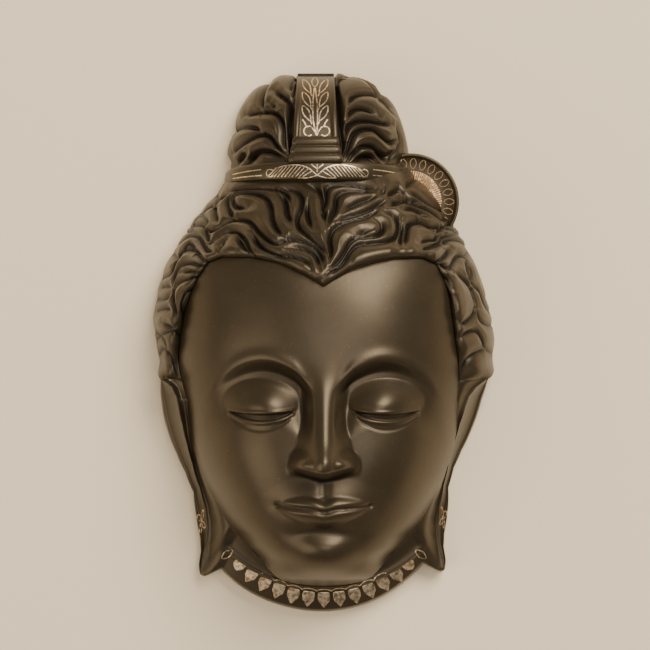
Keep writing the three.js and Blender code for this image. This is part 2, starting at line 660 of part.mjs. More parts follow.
const outside = joined([headSolid(), knotSolid(), bandSolid(), medallionSolid(), ...strapParts()]);
const pockets = Array.from({ length: petalCount }, (_, i) =>
  petalPlate(i, sheetClearance, sheetThickness + sheetClearance, 3));
const hollowed = outside.subtract(joined([headHollow(), knotHollow()])).subtract(solidOf(underBack));
const casting = withoutCrumbs(hollowed.simplify(thinning).subtract(joined(pockets)));

const blackAlloy = new THREE.MeshStandardMaterial({ color: 0x2b2622, roughness: 0.34, metalness: 0.9 });
const silver = new THREE.MeshStandardMaterial({ color: 0xd8c9b4, roughness: 0.3, metalness: 1 });

function named(name, geometry, material) {
  const mesh = new THREE.Mesh(geometry, material);
  mesh.name = name;
  return mesh;
}

const buddhaHead = new THREE.Group();
buddhaHead.name = "buddha_head";
buddhaHead.add(named("casting", geometryOf(casting), blackAlloy));
for (let i = 0; i < petalCount; i += 1) {
  const petal = petalPlate(i, 0, sheetThickness, 0);
  buddhaHead.add(named(`collar_petal_${String(i + 1).padStart(2, "0")}`, petal, silver));
}

export default buddhaHead;
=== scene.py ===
# A bidriware Buddha head in half-round, lying on its open back: the casting in blackened zinc alloy, and the
# silver sheet and wire let into its collar, topknot strap, hair band, medallion and ear lobes.
# Sizes are millimetres in the head's own frame (x to the viewer's right, y up the head, z out of the back),
# the same as in the CAD model; every mesh is turned to metres as it is made.
import math
from functools import partial

import bpy
import numpy as np
from mathutils import Matrix, Vector
from mathutils.kdtree import KDTree


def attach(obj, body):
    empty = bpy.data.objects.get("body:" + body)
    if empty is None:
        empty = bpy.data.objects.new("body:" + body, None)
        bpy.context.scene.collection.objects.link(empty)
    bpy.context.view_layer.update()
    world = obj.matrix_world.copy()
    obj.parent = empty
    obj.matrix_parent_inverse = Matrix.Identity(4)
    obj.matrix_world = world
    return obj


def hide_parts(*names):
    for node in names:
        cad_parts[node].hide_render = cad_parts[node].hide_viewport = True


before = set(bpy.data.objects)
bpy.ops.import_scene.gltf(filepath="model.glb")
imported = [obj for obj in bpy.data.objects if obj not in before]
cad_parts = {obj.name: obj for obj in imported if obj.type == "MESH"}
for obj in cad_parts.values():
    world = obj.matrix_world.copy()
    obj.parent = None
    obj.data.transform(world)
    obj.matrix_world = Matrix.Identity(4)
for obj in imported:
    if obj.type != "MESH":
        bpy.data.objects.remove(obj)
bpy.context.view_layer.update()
scene = bpy.context.scene
mm = 0.001


# Small helpers
def smooth(low, high, value):
    t = np.clip((value - low) / (high - low), 0, 1)
    return t * t * (3 - 2 * t)


def mix(a, b, t):
    return a + (b - a) * t


def bell(value, width):
    return np.exp(-((value / width) ** 2))


def bump(q):
    return (1 - np.minimum(1, q * q)) ** 2


def curveThrough(points):
    px, py = np.array(points, float).T
    slopes = np.concatenate([[(py[1] - py[0]) / (px[1] - px[0])], (py[2:] - py[:-2]) / (px[2:] - px[:-2]),
                             [(py[-1] - py[-2]) / (px[-1] - px[-2])]])

    def at(value):
        x = np.clip(value, px[0], px[-1])
        i = np.clip(np.searchsorted(px, x) - 1, 0, len(px) - 2)
        span = px[i + 1] - px[i]
        t = (x - px[i]) / span
        u = 1 - t
        return ((1 + 2 * t) * u * u * py[i] + t * u * u * span * slopes[i]
                + t * t * (3 - 2 * t) * py[i + 1] - t * t * u * span * slopes[i + 1])

    return at


def runLength(path):
    # length along a path up to each of its points
    return np.concatenate([[0], np.cumsum(np.linalg.norm(np.diff(path, axis=0), axis=1))])


def resample(path, at):
    length = runLength(path)
    return np.stack([np.interp(at, length, column) for column in path.T], 1)


def bend(points, steps=14):
    # smooth line through a few points
    path = np.array(points, float)
    length = runLength(path)
    at = np.linspace(0, length[-1], steps)
    if len(path) < 3:
        return resample(path, at)
    return np.stack([curveThrough(np.stack([length, column], 1))(at) for column in path.T], 1)


def wholeTurn(count):
    return np.linspace(-np.pi, np.pi, count, endpoint=False)


def unit(vectors):
    return vectors / np.linalg.norm(vectors, axis=-1, keepdims=True)


# Form of the head
headForm = {
    "halfWidth": 61.6,  # hair, at its widest
    "crownY": 71.8,
    "widestY": 2.0,
    "hairDepth": 58.0,
    "centreY": -20.0,  # polar angles turn round this level
    "wall": 4.5,
    "hollowDepth": 46.0,
}
canon = {  # the face on three equal parts from hairline to chin, and five eyes across
    "hairlineY": 27.0,
    "chinY": -84.0,
    "width": 112.0,
    "cheekHalf": 49.0,
}
centreY = headForm["centreY"]
faceThird = (canon["hairlineY"] - canon["chinY"]) / 3
browY = canon["hairlineY"] - faceThird
noseBaseY = browY - faceThird
eyeY = browY - faceThird * 0.3
mouthY = noseBaseY - faceThird / 3
eyeWidth = canon["width"] / 5
mouthHalf = eyeWidth * 0.75

collar = {
    "centreY": -49.4,
    "radius": 50.6,
    "innerZ": 13.5,
    "outerZ": 8.5,
    "edge": 1.8,
    "creaseY": -39.3,
    "creaseRadius": 49.9,
}
ear = {"ridgeZ": 20.0, "rimZ": 5.0}
hair = {
    "fringeStep": 3.4,
    "fringeRound": 3.6,
    "templeLean": 2.6,
}


def polar(x, y):
    return np.arctan2(x, y - centreY), np.hypot(x, y - centreY)


def fromPolar(angle, radius, centre=(0, centreY)):
    return centre[0] + radius * np.sin(angle), centre[1] + radius * np.cos(angle)


def onHead(angle, radius, z):
    return np.stack([*fromPolar(angle, radius), z], -1)


def radiusOf(points):
    p = np.array(points, float)
    angles, radii = polar(p[:, 0], p[:, 1])
    return lambda angle: np.interp(np.abs(angle), angles, radii)


# The casting isn't quite the same on both sides: more stands out on the left, by angle from the crown
leanPoints = [(0, 0), (0.5, -0.4), (0.66, 0.4), (0.9, 1.2), (1.12, 0.5), (1.4, -0.5), (1.6, 0.9), (1.9, 1.8),
              (2.1, 1.8), (2.3, 1.1), (2.5, 1), (2.7, 1.1), (2.95, 0.3), (math.pi, 0)]
leanCurve = curveThrough(leanPoints)


def lean(angle):
    return -np.sign(angle) * leanCurve(np.abs(angle))


def headOutline():
    # half the outline: shares of the hair's half width and rise, then the ear with its lobe, and the collar
    half, widest = headForm["halfWidth"], headForm["widestY"]
    crown = [(0, 1), (0.23, 0.985), (0.42, 0.937), (0.535, 0.867), (0.625, 0.774), (0.698, 0.695),
             (0.763, 0.616), (0.821, 0.523), (0.873, 0.43), (0.916, 0.344), (0.951, 0.258), (0.977, 0.172),
             (0.994, 0.086), (1, 0)]
    points = [(half * wide, mix(widest, headForm["crownY"], up)) for wide, up in crown]
    points += [(half * 0.994, widest - 5), (half * 0.985, widest - 9)]
    points += [(60.8, -11), (60.4, -17), (59.4, -22), (56.4, -33), (52.9, -41), (49.8, -47.7), (47.3, -55)]
    points += [(46.7, -64), (45.3, -72), (45, -77), (45.8, -82), (45.2, -85.2), (43.6, -86.2), (41, -85)]
    for i in range(41):
        t = math.radians(mix(-42, -90, i / 40))
        points.append((collar["radius"] * math.cos(t), collar["centreY"] + collar["radius"] * math.sin(t)))
    return points


evenOutline = radiusOf(headOutline())


def outlineRadius(angle):
    return evenOutline(angle) + lean(angle)


hairline = [(0, 19.8), (5, 23), (10, 25.8), (18, 28.7), (28, 30.1), (36, 30.2), (41, 28), (44.6, 22)]
temple = [(47.6, 13), (49.6, 2), (50.8, -9), (canon["cheekHalf"], eyeY)]
ovalShares = [(0.27, 0.965), (0.42, 0.905), (0.58, 0.81), (0.72, 0.705), (0.84, 0.58), (0.93, 0.47)]
cheekAndJaw = [(canon["cheekHalf"] * wide, mix(eyeY, canon["chinY"], down)) for down, wide in ovalShares]
crease = [(x, collar["creaseY"] - math.sqrt(collar["creaseRadius"] ** 2 - x * x)) for x in (15, 8, 0)]
faceLine = radiusOf(hairline + temple + cheekAndJaw + crease)


def faceRadius(angle):
    return faceLine(angle) - hair["templeLean"] * np.sign(angle) * bell(np.abs(angle) - 1.15, 0.4)


earTop = [(61.4, -13), (58, -14.6), (55.5, -16.6), (53.3, -20), (52.3, -23.5), (50.6, -30), (48.8, -37)]
earFoot = [(47, -44), (44.8, -53), (43, -61), (42.5, -68), (43, -74), (44.2, -80), (45, -85)]
evenRidge = radiusOf(earTop + earFoot)
earStart = polar(*earTop[0])[0]
earEnd = polar(*earFoot[-1])[0]


def earRadius(angle):
    return evenRidge(angle) + lean(angle) * 0.7


# Face
faceHalf = curveThrough([(-92, 20), (-86, 24.5)] + [(y, x * 1.06) for x, y in reversed(cheekAndJaw)]
                        + [(eyeY, canon["cheekHalf"] * 1.09), (-5, 57), (13, 57), (30, 58)])
faceDepth = curveThrough([(-90, 14), (-88, 24), (-85, 37), (-80, 45.5), (-70, 50.5), (-55, 53.5), (-35, 55.5),
                          (-12, 56.5), (8, 56.5), (24, 53.5), (40, 46)])
browLine = curveThrough([(0, -9), (5, -5), (11, 0.5), (20, 3.7), (29, 2.4), (37, -2.5), (43, -9)])
noseRidge = curveThrough([(-5.2, 12.5), (3, 12.8), (7, 11.6), (17, 7.4), (27, 3.7), (34, 1.5), (42, 0.3),
                          (50, 0)])
noseHalf = curveThrough([(-5.2, 12.2), (3, 12), (9, 9.6), (19, 7.4), (29, 6.4), (37, 8), (44, 10), (52, 12)])


def faceForm(x, y):
    q = np.minimum(1, np.abs(x) / faceHalf(y))
    return faceDepth(y) * np.sqrt(1 - q ** 2.35)


def eyes(x, y):
    ax = np.abs(x)
    below = browY + browLine(ax) - y
    across = smooth(3, 9, ax) * (1 - smooth(28, 44, ax))
    socket = smooth(-0.4, 4.6, below) * (1 - smooth(9, 24, below))
    ball = 1 - ((ax - eyeWidth) / (eyeWidth * 0.625)) ** 2 - ((y - eyeY) / 8.4) ** 2
    u = (ax - eyeWidth) / (eyeWidth * 0.545)
    inside = np.clip(1 - u * u, 0, 1)
    lidEdge = eyeY - 3.2 - 1.1 * inside
    lowerEdge = eyeY - 3.2 - 3.9 * inside ** 0.8
    within = smooth(0, 0.12, inside)
    slit = smooth(0, 0.5, lidEdge - y) * smooth(0, 0.5, y - lowerEdge) * within
    lidRim = 0.35 * bell(y - lidEdge - 0.5, 0.55) * within
    lowerRim = 0.6 * bell(y - lowerEdge + 0.7, 0.75) * within
    fold = 0.3 * bell(y - lowerEdge + 3.1 * inside ** 0.7, 0.6) * smooth(0, 0.3, inside)
    proudBrow = 0.7 * bell(below + 1.2, 2.4) * smooth(4, 10, ax) * (1 - smooth(26, 42, ax))
    hollow = socket * across * (5.6 - 3.2 * smooth(10, 38, ax))
    return proudBrow + 4.4 * np.maximum(0, ball) ** 1.3 - hollow - 1.1 * slit + lidRim + lowerRim - fold


def nose(x, y):
    ax = np.abs(x)
    up = y - noseBaseY
    under = smooth(-1.6, 2.6, up + 1.1 * bell(ax, 4) - 0.9 * smooth(4, 10, ax))
    body = np.clip(1 - (ax / (noseHalf(up) * 1.12)) ** 2, 0, 1) ** 1.7
    tip = 1.6 * np.exp(-((ax / 4.6) ** 2) - ((up - 4.8) / 4.2) ** 2)
    wing = 3.8 * bump(np.hypot((ax - 8.3) / 5.2, (up - 4.2) / 5.6))
    return (noseRidge(up) * body + tip + wing) * under


def mouthAndChin(x, y):
    ax = np.abs(x)
    m = np.clip(1 - (ax / mouthHalf) ** 2, 0, 1)
    seam = mouthY - 0.9 * bell(ax, 3.2) + 1.3 * (ax / mouthHalf) ** 2
    upper = 4.6 * m ** 0.75 - 1.1 * bell(ax, 2.4) + 0.3
    lower = np.maximum(5.6 * m ** 0.6, 0.01)
    part = np.where(y > seam, (y - seam) / upper, (seam - y) / lower)
    lip = np.where(y > seam, 2.3, 2.6) * m ** 0.8 * np.maximum(0, 1 - part ** 2.2) ** 1.1
    swell = 2.6 * bump(np.hypot(ax / 25, (y - mouthY) / 12.5))
    groove = 1.5 * bell(y - seam, 0.9) * smooth(-0.05, 0.25, 1.12 - (ax / mouthHalf) ** 2)
    philtrum = 0.9 * bell(ax, 2) * smooth(3, 4.7, y - mouthY) * smooth(0, 2.5, noseBaseY - y)
    corner = 0.45 * np.exp(-((ax - mouthHalf - 0.8) / 2.6) ** 2 - ((y - mouthY - 1) / 2.4) ** 2)
    underLip = 1.5 * bell(ax, 11) * bell(y - mouthY + 8.4, 2.6)
    chin = 3 * bump(np.hypot(ax / 15.5, (y - canon["chinY"] - 8.5) / 9.5))
    cheek = 1.9 * bump(np.hypot((ax - 27) / 21, (y - noseBaseY - 4) / 20))
    return lip + swell - groove - philtrum - corner - underLip + chin + cheek


def faceZ(x, y):
    return faceForm(x, y) + eyes(x, y) + nose(x, y) + mouthAndChin(x, y)


# Hair, ears and collar, as heights at an angle and a radius
def domeZ(angle, radius):
    q = np.minimum(1, radius / outlineRadius(angle))
    return headForm["hairDepth"] * np.sqrt(1 - q ** 2.2)


def hairZ(angle, radius):
    inner = faceRadius(angle)
    x, y = fromPolar(angle, inner)
    slope = faceForm(np.abs(x) + 0.5, y) - faceForm(np.abs(x) - 0.5, y)
    edge = np.sin(np.clip((radius - inner) / hair["fringeRound"], 0, 1) * np.pi / 2)
    step = hair["fringeStep"] * mix(1, 0.15, smooth(earStart - 0.5, earStart, np.abs(angle)))
    lift = faceForm(x, y) + step * np.hypot(1, slope) * edge - domeZ(angle, inner)
    t = (radius - inner) / (outlineRadius(angle) - inner)
    return domeZ(angle, radius) + lift * (1 - smooth(0, 0.6, t))


def earZ(angle, radius):
    inner = faceRadius(angle)
    innerZ = faceZ(*fromPolar(angle, inner))
    ridge = earRadius(angle)
    outer = outlineRadius(angle)
    down = smooth(earStart, earEnd, np.abs(angle))
    ridgeZ = mix(ear["ridgeZ"] + 2, 8, down ** 1.3)
    valley = mix(1, 3.4, smooth(0.2, 0.6, down))
    t = np.clip((radius - inner) / np.maximum(ridge - inner, 0.1), 0, 1)
    front = mix(innerZ, ridgeZ, smooth(0.2, 1, t)) - valley * np.sin(np.pi * t) ** 1.4
    t = np.clip((radius - ridge) / np.maximum(outer - ridge, 0.1), 0, 1)
    back = mix(ridgeZ, np.minimum(ear["rimZ"], ridgeZ * 0.7), 1 - (1 - t) ** 1.7) + 0.9 * bell(t - 0.84, 0.1)
    return np.where(radius < ridge, front, back * np.sqrt(1 - smooth(0.88, 1, t)))


def creaseRadius(angle):
    # the line under the chin where the neck meets the collar, a circle from ear to ear
    below = centreY - collar["creaseY"]
    along = -below * np.cos(angle)
    return along + np.sqrt(collar["creaseRadius"] ** 2 - below ** 2 + along ** 2)


def collarZ(angle, radius):
    jaw = faceRadius(angle)
    inner = np.maximum(jaw, creaseRadius(angle))
    outer = outlineRadius(angle)
    t = np.clip((radius - inner) / (outer - inner), 0, 1)
    edge = np.clip((radius - outer + collar["edge"]) / collar["edge"], 0, 1)
    bead = 0.9 * bell(radius - inner - 1.3, 0.7)
    up = np.clip((inner - radius) / np.maximum(inner - jaw, 0.5), 0, 1)
    neck = up ** 1.6 * np.minimum(4, (inner - jaw) * 0.5)
    return mix(collar["innerZ"], collar["outerZ"], t) * np.sqrt(1 - edge ** 2.4) + bead + neck


def edgeZ(angle, radius):
    a = np.abs(angle)
    onCollar = smooth(earEnd - 0.02, earEnd + 0.05, a)
    onEar = smooth(earStart - 0.08, earStart + 0.03, a) * (1 - onCollar)
    return ((1 - onEar - onCollar) * hairZ(angle, radius) + onEar * earZ(angle, radius)
            + onCollar * collarZ(angle, radius))


# Locks: each line of text is a cut between two locks, with its points as x,y seen from the front
leftLocks = [
    "0,26.5 -1,30.5 -3.5,34 -8,36 -13,36.5 -16.5,35 -19.5,36 -23.5,39.5 -26.5,43 -31,44 -35,43 -38,41 -41,40 "
    "-43,41.5",
    "1.5,30.5 -2,34.5 -6,38 -9,41 -9.5,44 -8,48 -8,52 -10.5,54.5 -16.5,55.5",
    "-14,37 -17,40.5 -18.5,44 -19,48 -20.5,51.5 -24.5,53.5 -30,54 -33,52 -32,49 -27,48",
    "-11,41.5 -13,45.5 -14,51 -16.5,54",
    "-4,39.5 -5.5,44 -6,47.5 -5.5,51",
    "0.5,42 0,46.5 -0.5,52 -3,55.5 -7,56.5",
    "-4.5,25.5 -5.5,28 -8,29.5 -12,30.5 -16,30.5 -19,32 -22.5,34 -24.5,36.5 -25.5,39",
    "-1.5,25.5 -2.5,30 -5.5,32.5 -9,33.5 -13,33",
    "-23.5,29.5 -26.5,32.5 -28,36 -31,39 -34.5,39.5 -37.5,37.5 -40,35.5 -42,35",
    "-25.5,29.5 -29,34.5 -31.5,38",
    "-38,31.5 -36,35 -34.5,36.5",
    "-38,42.5 -39.5,46 -39.5,49.5 -39,52.5",
    "-32,44 -34,47 -35,50.5 -33,54",
    "-41,35.5 -42.5,39 -43.5,42 -47,42.5 -50.5,41.5",
    "-39,32 -42,33 -44,36 -45.5,38 -48.5,38.5 -51.5,36.5 -54,34",
    "-41,27.5 -43.5,29.5 -46,32.5 -48.5,33.5 -51.5,32 -53.5,28 -55,24.5 -59,23",
    "-41.5,26 -45,27.5 -48.5,28.5 -51.5,27 -53.5,23 -54,20",
    "-44,24 -48,25.5 -51,25",
    "-40.5,24.5 -45,23 -50,22.5 -53,20 -54,16 -53.5,12 -53,8",
    "-45,18.5 -48.5,18 -51,15 -51,11 -49.5,6 -48.5,3",
    "-61.5,15.5 -57,15.5 -54.5,17.5",
    "-60.5,11 -56.5,12 -54.5,11",
    "-58,7 -54.5,5 -53,7",
    "-62,0 -58.5,2.5 -55,4 -52.5,2.5 -51,-1 -52.5,-4.5",
    "-46,14.5 -47,9 -48,3 -48.5,-3 -49,-8.5",
    "-60.5,-5 -58,-2.5 -56,-4.5 -54.5,-8.5 -53,-12.5",
    "-58,31.5 -56,36 -53,37.5",
    "-48,42.5 -45,46.5 -41,49.5 -39.5,49",
    "-59,19.5 -56,20 -54.5,19",
    "-45.5,47.5 -42.5,43.5 -42.5,41",
    "-34.5,54.5 -30,55.5 -23.5,55.5 -17.5,55 -13.5,53 -11.5,49.5",
    "-39,49.5 -37.5,52 -34,54",
    "-46,32 -48.5,35.5 -50.5,33 -52.5,30",
    "-52,37 -50.5,40 -47.5,40.5",
    "-56.5,-2.5 -57.5,0.5 -59.5,2.5",
]
rightLocks = [
    "1,41 2.5,44.5 4,48 4.5,52 7,54 12,54.5 16.5,54 19,53.5",
    "0,46.5 0.5,51.5 1,55.5 3.5,56.5 10,56.5 15.5,55.5 18.5,54.5",
    "4,43 8,44.5 13,46 16.5,47.5 20,49.5 23,51",
    "7,46 9,48 12.5,50 16.5,51.5 19.5,53",
    "2,28 2.5,32.5 2,36.5 3,39.5 6,42 10,43.5 14,44.5 17.5,46 19.5,47.5",
    "1,25 4.5,28 7,31.5 9,35 11.5,37 15.5,37.5 19,38 21,40 20.5,42 18.5,43.5",
    "11,37.5 14,39 17.5,40",
    "-0.5,22.5 3.5,25 7,28.5 9.5,32.5 12,34.5 16,35 20.5,35.5 24,36.5 26,38.5 26.5,41.5 25,45 21.5,46.5",
    "26.5,33.5 27.5,37 28,40.5 27.5,43.5",
    "28.5,34 29.5,38.5 30.5,42 33.5,43 36.5,42 39.5,39.5",
    "27.5,47.5 31,48 34.5,46.5 38,45",
    "25.5,51 29.5,50.5 34.5,49 39,47 43.5,44.5",
    "34,35 36.5,36.5 40,37 42,39",
    "34,32.5 37.5,34 41,35.5 43.5,38 47,39",
    "36.5,29 39.5,28 42,29.5 44.5,32 45.5,34",
    "37.5,27.5 42,27.5 45,26.5 47,29.5 48.5,31 50.5,31",
    "39,24 42.5,21 44.5,17.5 45,13.5 44,9 44,5.5 47.5,1.5",
    "41,24.5 43.5,22.5 46,19",
    "46.5,25.5 49.5,23 52,20 53.5,16.5 54.5,12.5 53,8.5 50,6.5 48,8",
    "51,30.5 51.5,25.5 53,21 55.5,18.5 57.5,13.5 60,10.5",
    "54.5,12 56,8 58.5,6 62.5,5.5",
    "47.5,0.5 50.5,2.5 54.5,4 56.5,1.5 58,-2.5 61.5,-4.5",
    "50,-12.5 50.5,-8.5 53.5,-5 58,-2.5",
    "42,35 45,37 49.5,36.5 53,32.5 54.5,28.5",
    "40,39 43,41.5 47.5,40.5 51.5,37",
    "57.5,18 59,15 62,12",
    "31,28 35.5,30.5",
    "43,12.5 42.5,7 44.5,2 46.5,-3 47,-8",
    "19,52.5 21.5,54 21.5,55.5",
    "22,51.5 24.5,54 27,55 29,53.5 31.5,51",
    "29.5,54.5 33,53 36,51 40.5,49 43.5,47.5",
    "22.5,48.5 27.5,50.5 31.5,51 36,49.5",
    "43,42 46,43 49.5,41.5 52.5,38 54,34",
    "34.5,43.5 38,41.5 41,41.5 44,40.5",
    "51,28.5 53,25 52.5,20",
    "35,61 31,57.5 29,55",
    "53,33.5 55,28.5 57.5,23 59.5,19",
]
knotLocks = [
    "-11.5,66.5 -12,71 -13,76.5 -12.5,81.5 -12.5,86.5 -15.5,89.5 -18,91.5",
    "-13.5,68 -14.5,72 -14.5,76.5 -15.5,80.5 -18,83 -22.5,83.5 -28,83",
    "-22,83.5 -22.5,88.5 -20.5,94.5 -18.5,97.5",
    "-13.5,67 -17,70.5 -20,74.5 -23,75 -27,73.5 -30.5,71.5 -33,69.5",
    "-14.5,66 -19,68.5 -23,69 -27,66.5 -29.5,63.5",
    "-34,77 -30,78.5 -25.5,78 -22,76",
    "-10.5,98 -12,94 -12,90",
    "-19.5,87 -17,84",
    "-33.5,65 -30,68 -27.5,69",
    "6.5,65.5 7,71 6.5,76 6,80 5.5,85.5 5,93 5.5,97.5",
    "7.5,65 9,70.5 10.5,74.5 13,76.5 17.5,77 21,74.5 24,72.5 26.5,74",
    "8.5,64.5 11,68 13.5,70.5 17.5,70.5 20,68.5 23,67 25,69.5",
    "7.5,73 8.5,77.5 11.5,79.5 16,80 20.5,79.5 24.5,79.5",
    "8,80 10,83.5 13,84.5 17,83.5 20,81.5",
    "8.5,85.5 10,88.5 13,90 17.5,90 21.5,87 24,84",
    "5.5,96 8.5,97.5 12,96.5 16,94.5 18.5,91.5 20,87.5",
    "14.5,97 18,95 20.5,91.5 23.5,86",
    "26,78 27,73 26,68.5 24,64",
    "10,63.5 14,66.5 17.5,66.5 20,64",
]
locks = {
    "depth": 2.6,
    "round": 2.9,  # from a cut to the full height of the lock beside it
    "cutHalf": 0.35,  # half width of the round bottom of a cut
    "strandAt": 2.3,  # a shallow strand line runs this far from each cut
    "strandDepth": 0.18,
    "taper": 5.0,  # over which a cut runs out at its ends
    "besideFace": 0.62,  # share of the relief that is left at the sides of the head
    "atRim": 0.5,  # and at the outline
    "swell": 1.0,  # the locks there lie this much over the skull
    "step": 0.2,
}


def lineSamples(lines, heightAt, reachRim):
    # points along every cut, laid on the surface, and how deep the cut is at each
    points, depths = [], []
    for text in lines:
        p = np.array([[float(v) for v in pair.split(",")] for pair in text.split()])
        if reachRim:
            angle, radius = polar(*p[-1])
            if radius > outlineRadius(angle) - 3.5:
                p = np.vstack([p, fromPolar(angle, outlineRadius(angle))])
        p = bend(p, 8 * len(p))
        p = np.column_stack([p, heightAt(p[:, 0], p[:, 1])])
        length = runLength(p)[-1]
        at = np.linspace(0, length, max(2, int(length / locks["step"])))
        points.append(resample(p, at))
        depths.append(0.25 + 0.75 * smooth(0, locks["taper"], np.minimum(at, length - at)))
    return np.concatenate(points), np.concatenate(depths)


def lockRelief(points, lines, heightAt, reachRim):
    # height of the locks over the bare surface at each point, and how near the top of its lock it is
    samples, depths = lineSamples(lines, heightAt, reachRim)
    tree = KDTree(len(samples))
    for i, sample in enumerate(samples):
        tree.insert(sample, i)
    tree.balance()
    found = [tree.find(point)[1:] for point in points.reshape(-1, 3)]
    nearest = np.array([f[0] for f in found]).reshape(points.shape[:-1])
    away = np.array([f[1] for f in found]).reshape(points.shape[:-1])
    t = np.clip((np.hypot(away, locks["cutHalf"]) - locks["cutHalf"]) / locks["round"], 0, 1)
    rounded = np.sqrt(1 - (1 - t) ** 2)
    broad = smooth(0, 7, away)
    cut = depths[nearest]
    shape = 1 - cut * (1 - rounded)
    strand = locks["strandDepth"] * bell(away - locks["strandAt"], 0.45) * smooth(0.5, 1, cut)
    relief = locks["depth"] * (shape - 0.62) + 0.9 * broad - strand
    return relief, shape * (0.8 + 0.2 * broad)


def hairNormal(angle, radius):
    def point(a, r):
        return onHead(a, r, hairZ(a, r))

    inwards = point(angle, radius - 0.2) - point(angle, radius)
    normal = unit(np.cross(inwards, point(angle + 0.01, radius) - point(angle - 0.01, radius)))
    return np.where(normal[..., 2:3] < 0, -normal, normal)


def seated(points):
    # nothing reaches below the back plane, and the last row lies in it
    points[:, :-1, 2] = np.maximum(points[:, :-1, 2], 0.02)
    points[:, -1, 2] = 0
    return points


# Topknot
knot = {
    "x": -2.2,
    "halfWidth": 32.4,
    "square": 2.3,  # 2 would be a round section
    "baseY": 60.0,
    "rise": 38.1,
    "depth": 34.5,
    "foot": 6.0,
    "moreWall": 4.0,  # than the head has
}


def knotForm(x, y):
    v = np.minimum(1, np.abs(y - knot["baseY"]) / np.where(y > knot["baseY"], knot["rise"], knot["foot"]))
    half = np.maximum(knot["halfWidth"] * (1 - v ** 2) ** 0.3, 0.001)
    u = np.minimum(1, np.abs(x - knot["x"]) / half)
    return knot["depth"] * np.sqrt((1 - v ** 2.9) * (1 - u ** knot["square"]))


# Meshes
def newObject(name, points, faces, material, shadeSmooth=True):
    mesh = bpy.data.meshes.new(name)
    mesh.from_pydata((np.asarray(points) * mm).tolist(), [], faces)
    mesh.validate()
    mesh.update()
    if shadeSmooth:
        mesh.polygons.foreach_set("use_smooth", [True] * len(mesh.polygons))
    item = bpy.data.objects.new(name, mesh)
    scene.collection.objects.link(item)
    item.data.materials.append(material)
    return item


def ringFaces(ringCount, sides):
    i = np.arange(sides)
    j = (i + 1) % sides
    ring = np.stack([i, j, j + sides, i + sides], -1)
    return np.concatenate([ring + k * sides for k in range(ringCount - 1)])


def domeObject(name, top, rings, foot, material, shadeSmooth=True):
    # closed: a point on top, rings down to the back, clockwise seen from the front, and a point in the back
    sides = rings.shape[1]
    points = np.concatenate([[top], rings.reshape(-1, 3), [foot]])
    faces = (ringFaces(len(rings), sides) + 1).tolist()
    last = 1 + (len(rings) - 1) * sides
    for i in range(sides):
        j = (i + 1) % sides
        faces += [[0, 1 + j, 1 + i], [last + i, last + j, len(points) - 1]]
    return newObject(name, points, faces, material, shadeSmooth)


def cutBy(item, cutter):
    change = item.modifiers.new("cut", "BOOLEAN")
    change.solver = "MANIFOLD"
    change.object = cutter
    evaluated = item.evaluated_get(bpy.context.evaluated_depsgraph_get())
    mesh = bpy.data.meshes.new_from_object(evaluated)
    item.modifiers.clear()
    old = item.data
    item.data = mesh
    bpy.data.meshes.remove(old)
    bpy.data.objects.remove(cutter)


def writeAttribute(item, name, values):
    layer = item.data.attributes.new(name, "FLOAT", "POINT")
    layer.data.foreach_set("value", np.asarray(values, np.float32))


# low polish values also carry painted shade, on the strap's top turn
evenPolish, backPolish = 0.8, 0.3  # 1 is a crest that the cloth rubbed, 0 a groove


# Casting: face, ears, collar and the skull under the hair as one closed dome, with the hollow cut out
headMesh = {
    "columns": 600,
    "faceRings": 110,
    "edgeRows": 48,
    "meridianSteps": 90,
    "ridgeAt": 0.4,  # share of the rows that lie inside the ear's ridge
    "sunk": 2.6,  # of the skull below the hair
    "clothReach": 1.1,  # the cloth bridges hollows of about twice this width
    "hollowColumns": 88,
}


def edgeRadii(angles, rows):
    # radius of each row at each angle: even steps over the hair, finer at the ear's ridge and collar's edge
    a = np.abs(angles)[:, None]
    t = np.linspace(0, 1, rows + 1)
    inner = faceRadius(angles)[:, None]
    outer = outlineRadius(angles)[:, None]
    down = inner + (outer - inner) * np.sin(np.linspace(0, np.pi / 2, headMesh["meridianSteps"]))
    lengths = np.hypot(np.diff(down, axis=1), np.diff(hairZ(angles[:, None], down), axis=1)).cumsum(1)
    onHair = np.stack([np.interp(t * run[-1], [0, *run], radii) for run, radii in zip(lengths, down)])
    ridge = np.clip(earRadius(angles)[:, None], inner + 1, outer - 1)
    k = headMesh["ridgeAt"]
    onEar = np.where(t < k, mix(inner, ridge, t / k), mix(ridge, outer, (t - k) / (1 - k)))
    onCollar = mix(inner, outer, 1 - (1 - t) ** 1.6)
    toEar = smooth(earStart - 0.16, earStart + 0.08, a)
    toCollar = smooth(earEnd - 0.06, earEnd + 0.12, a)
    return mix(mix(onHair, onEar, toEar), onCollar, toCollar)


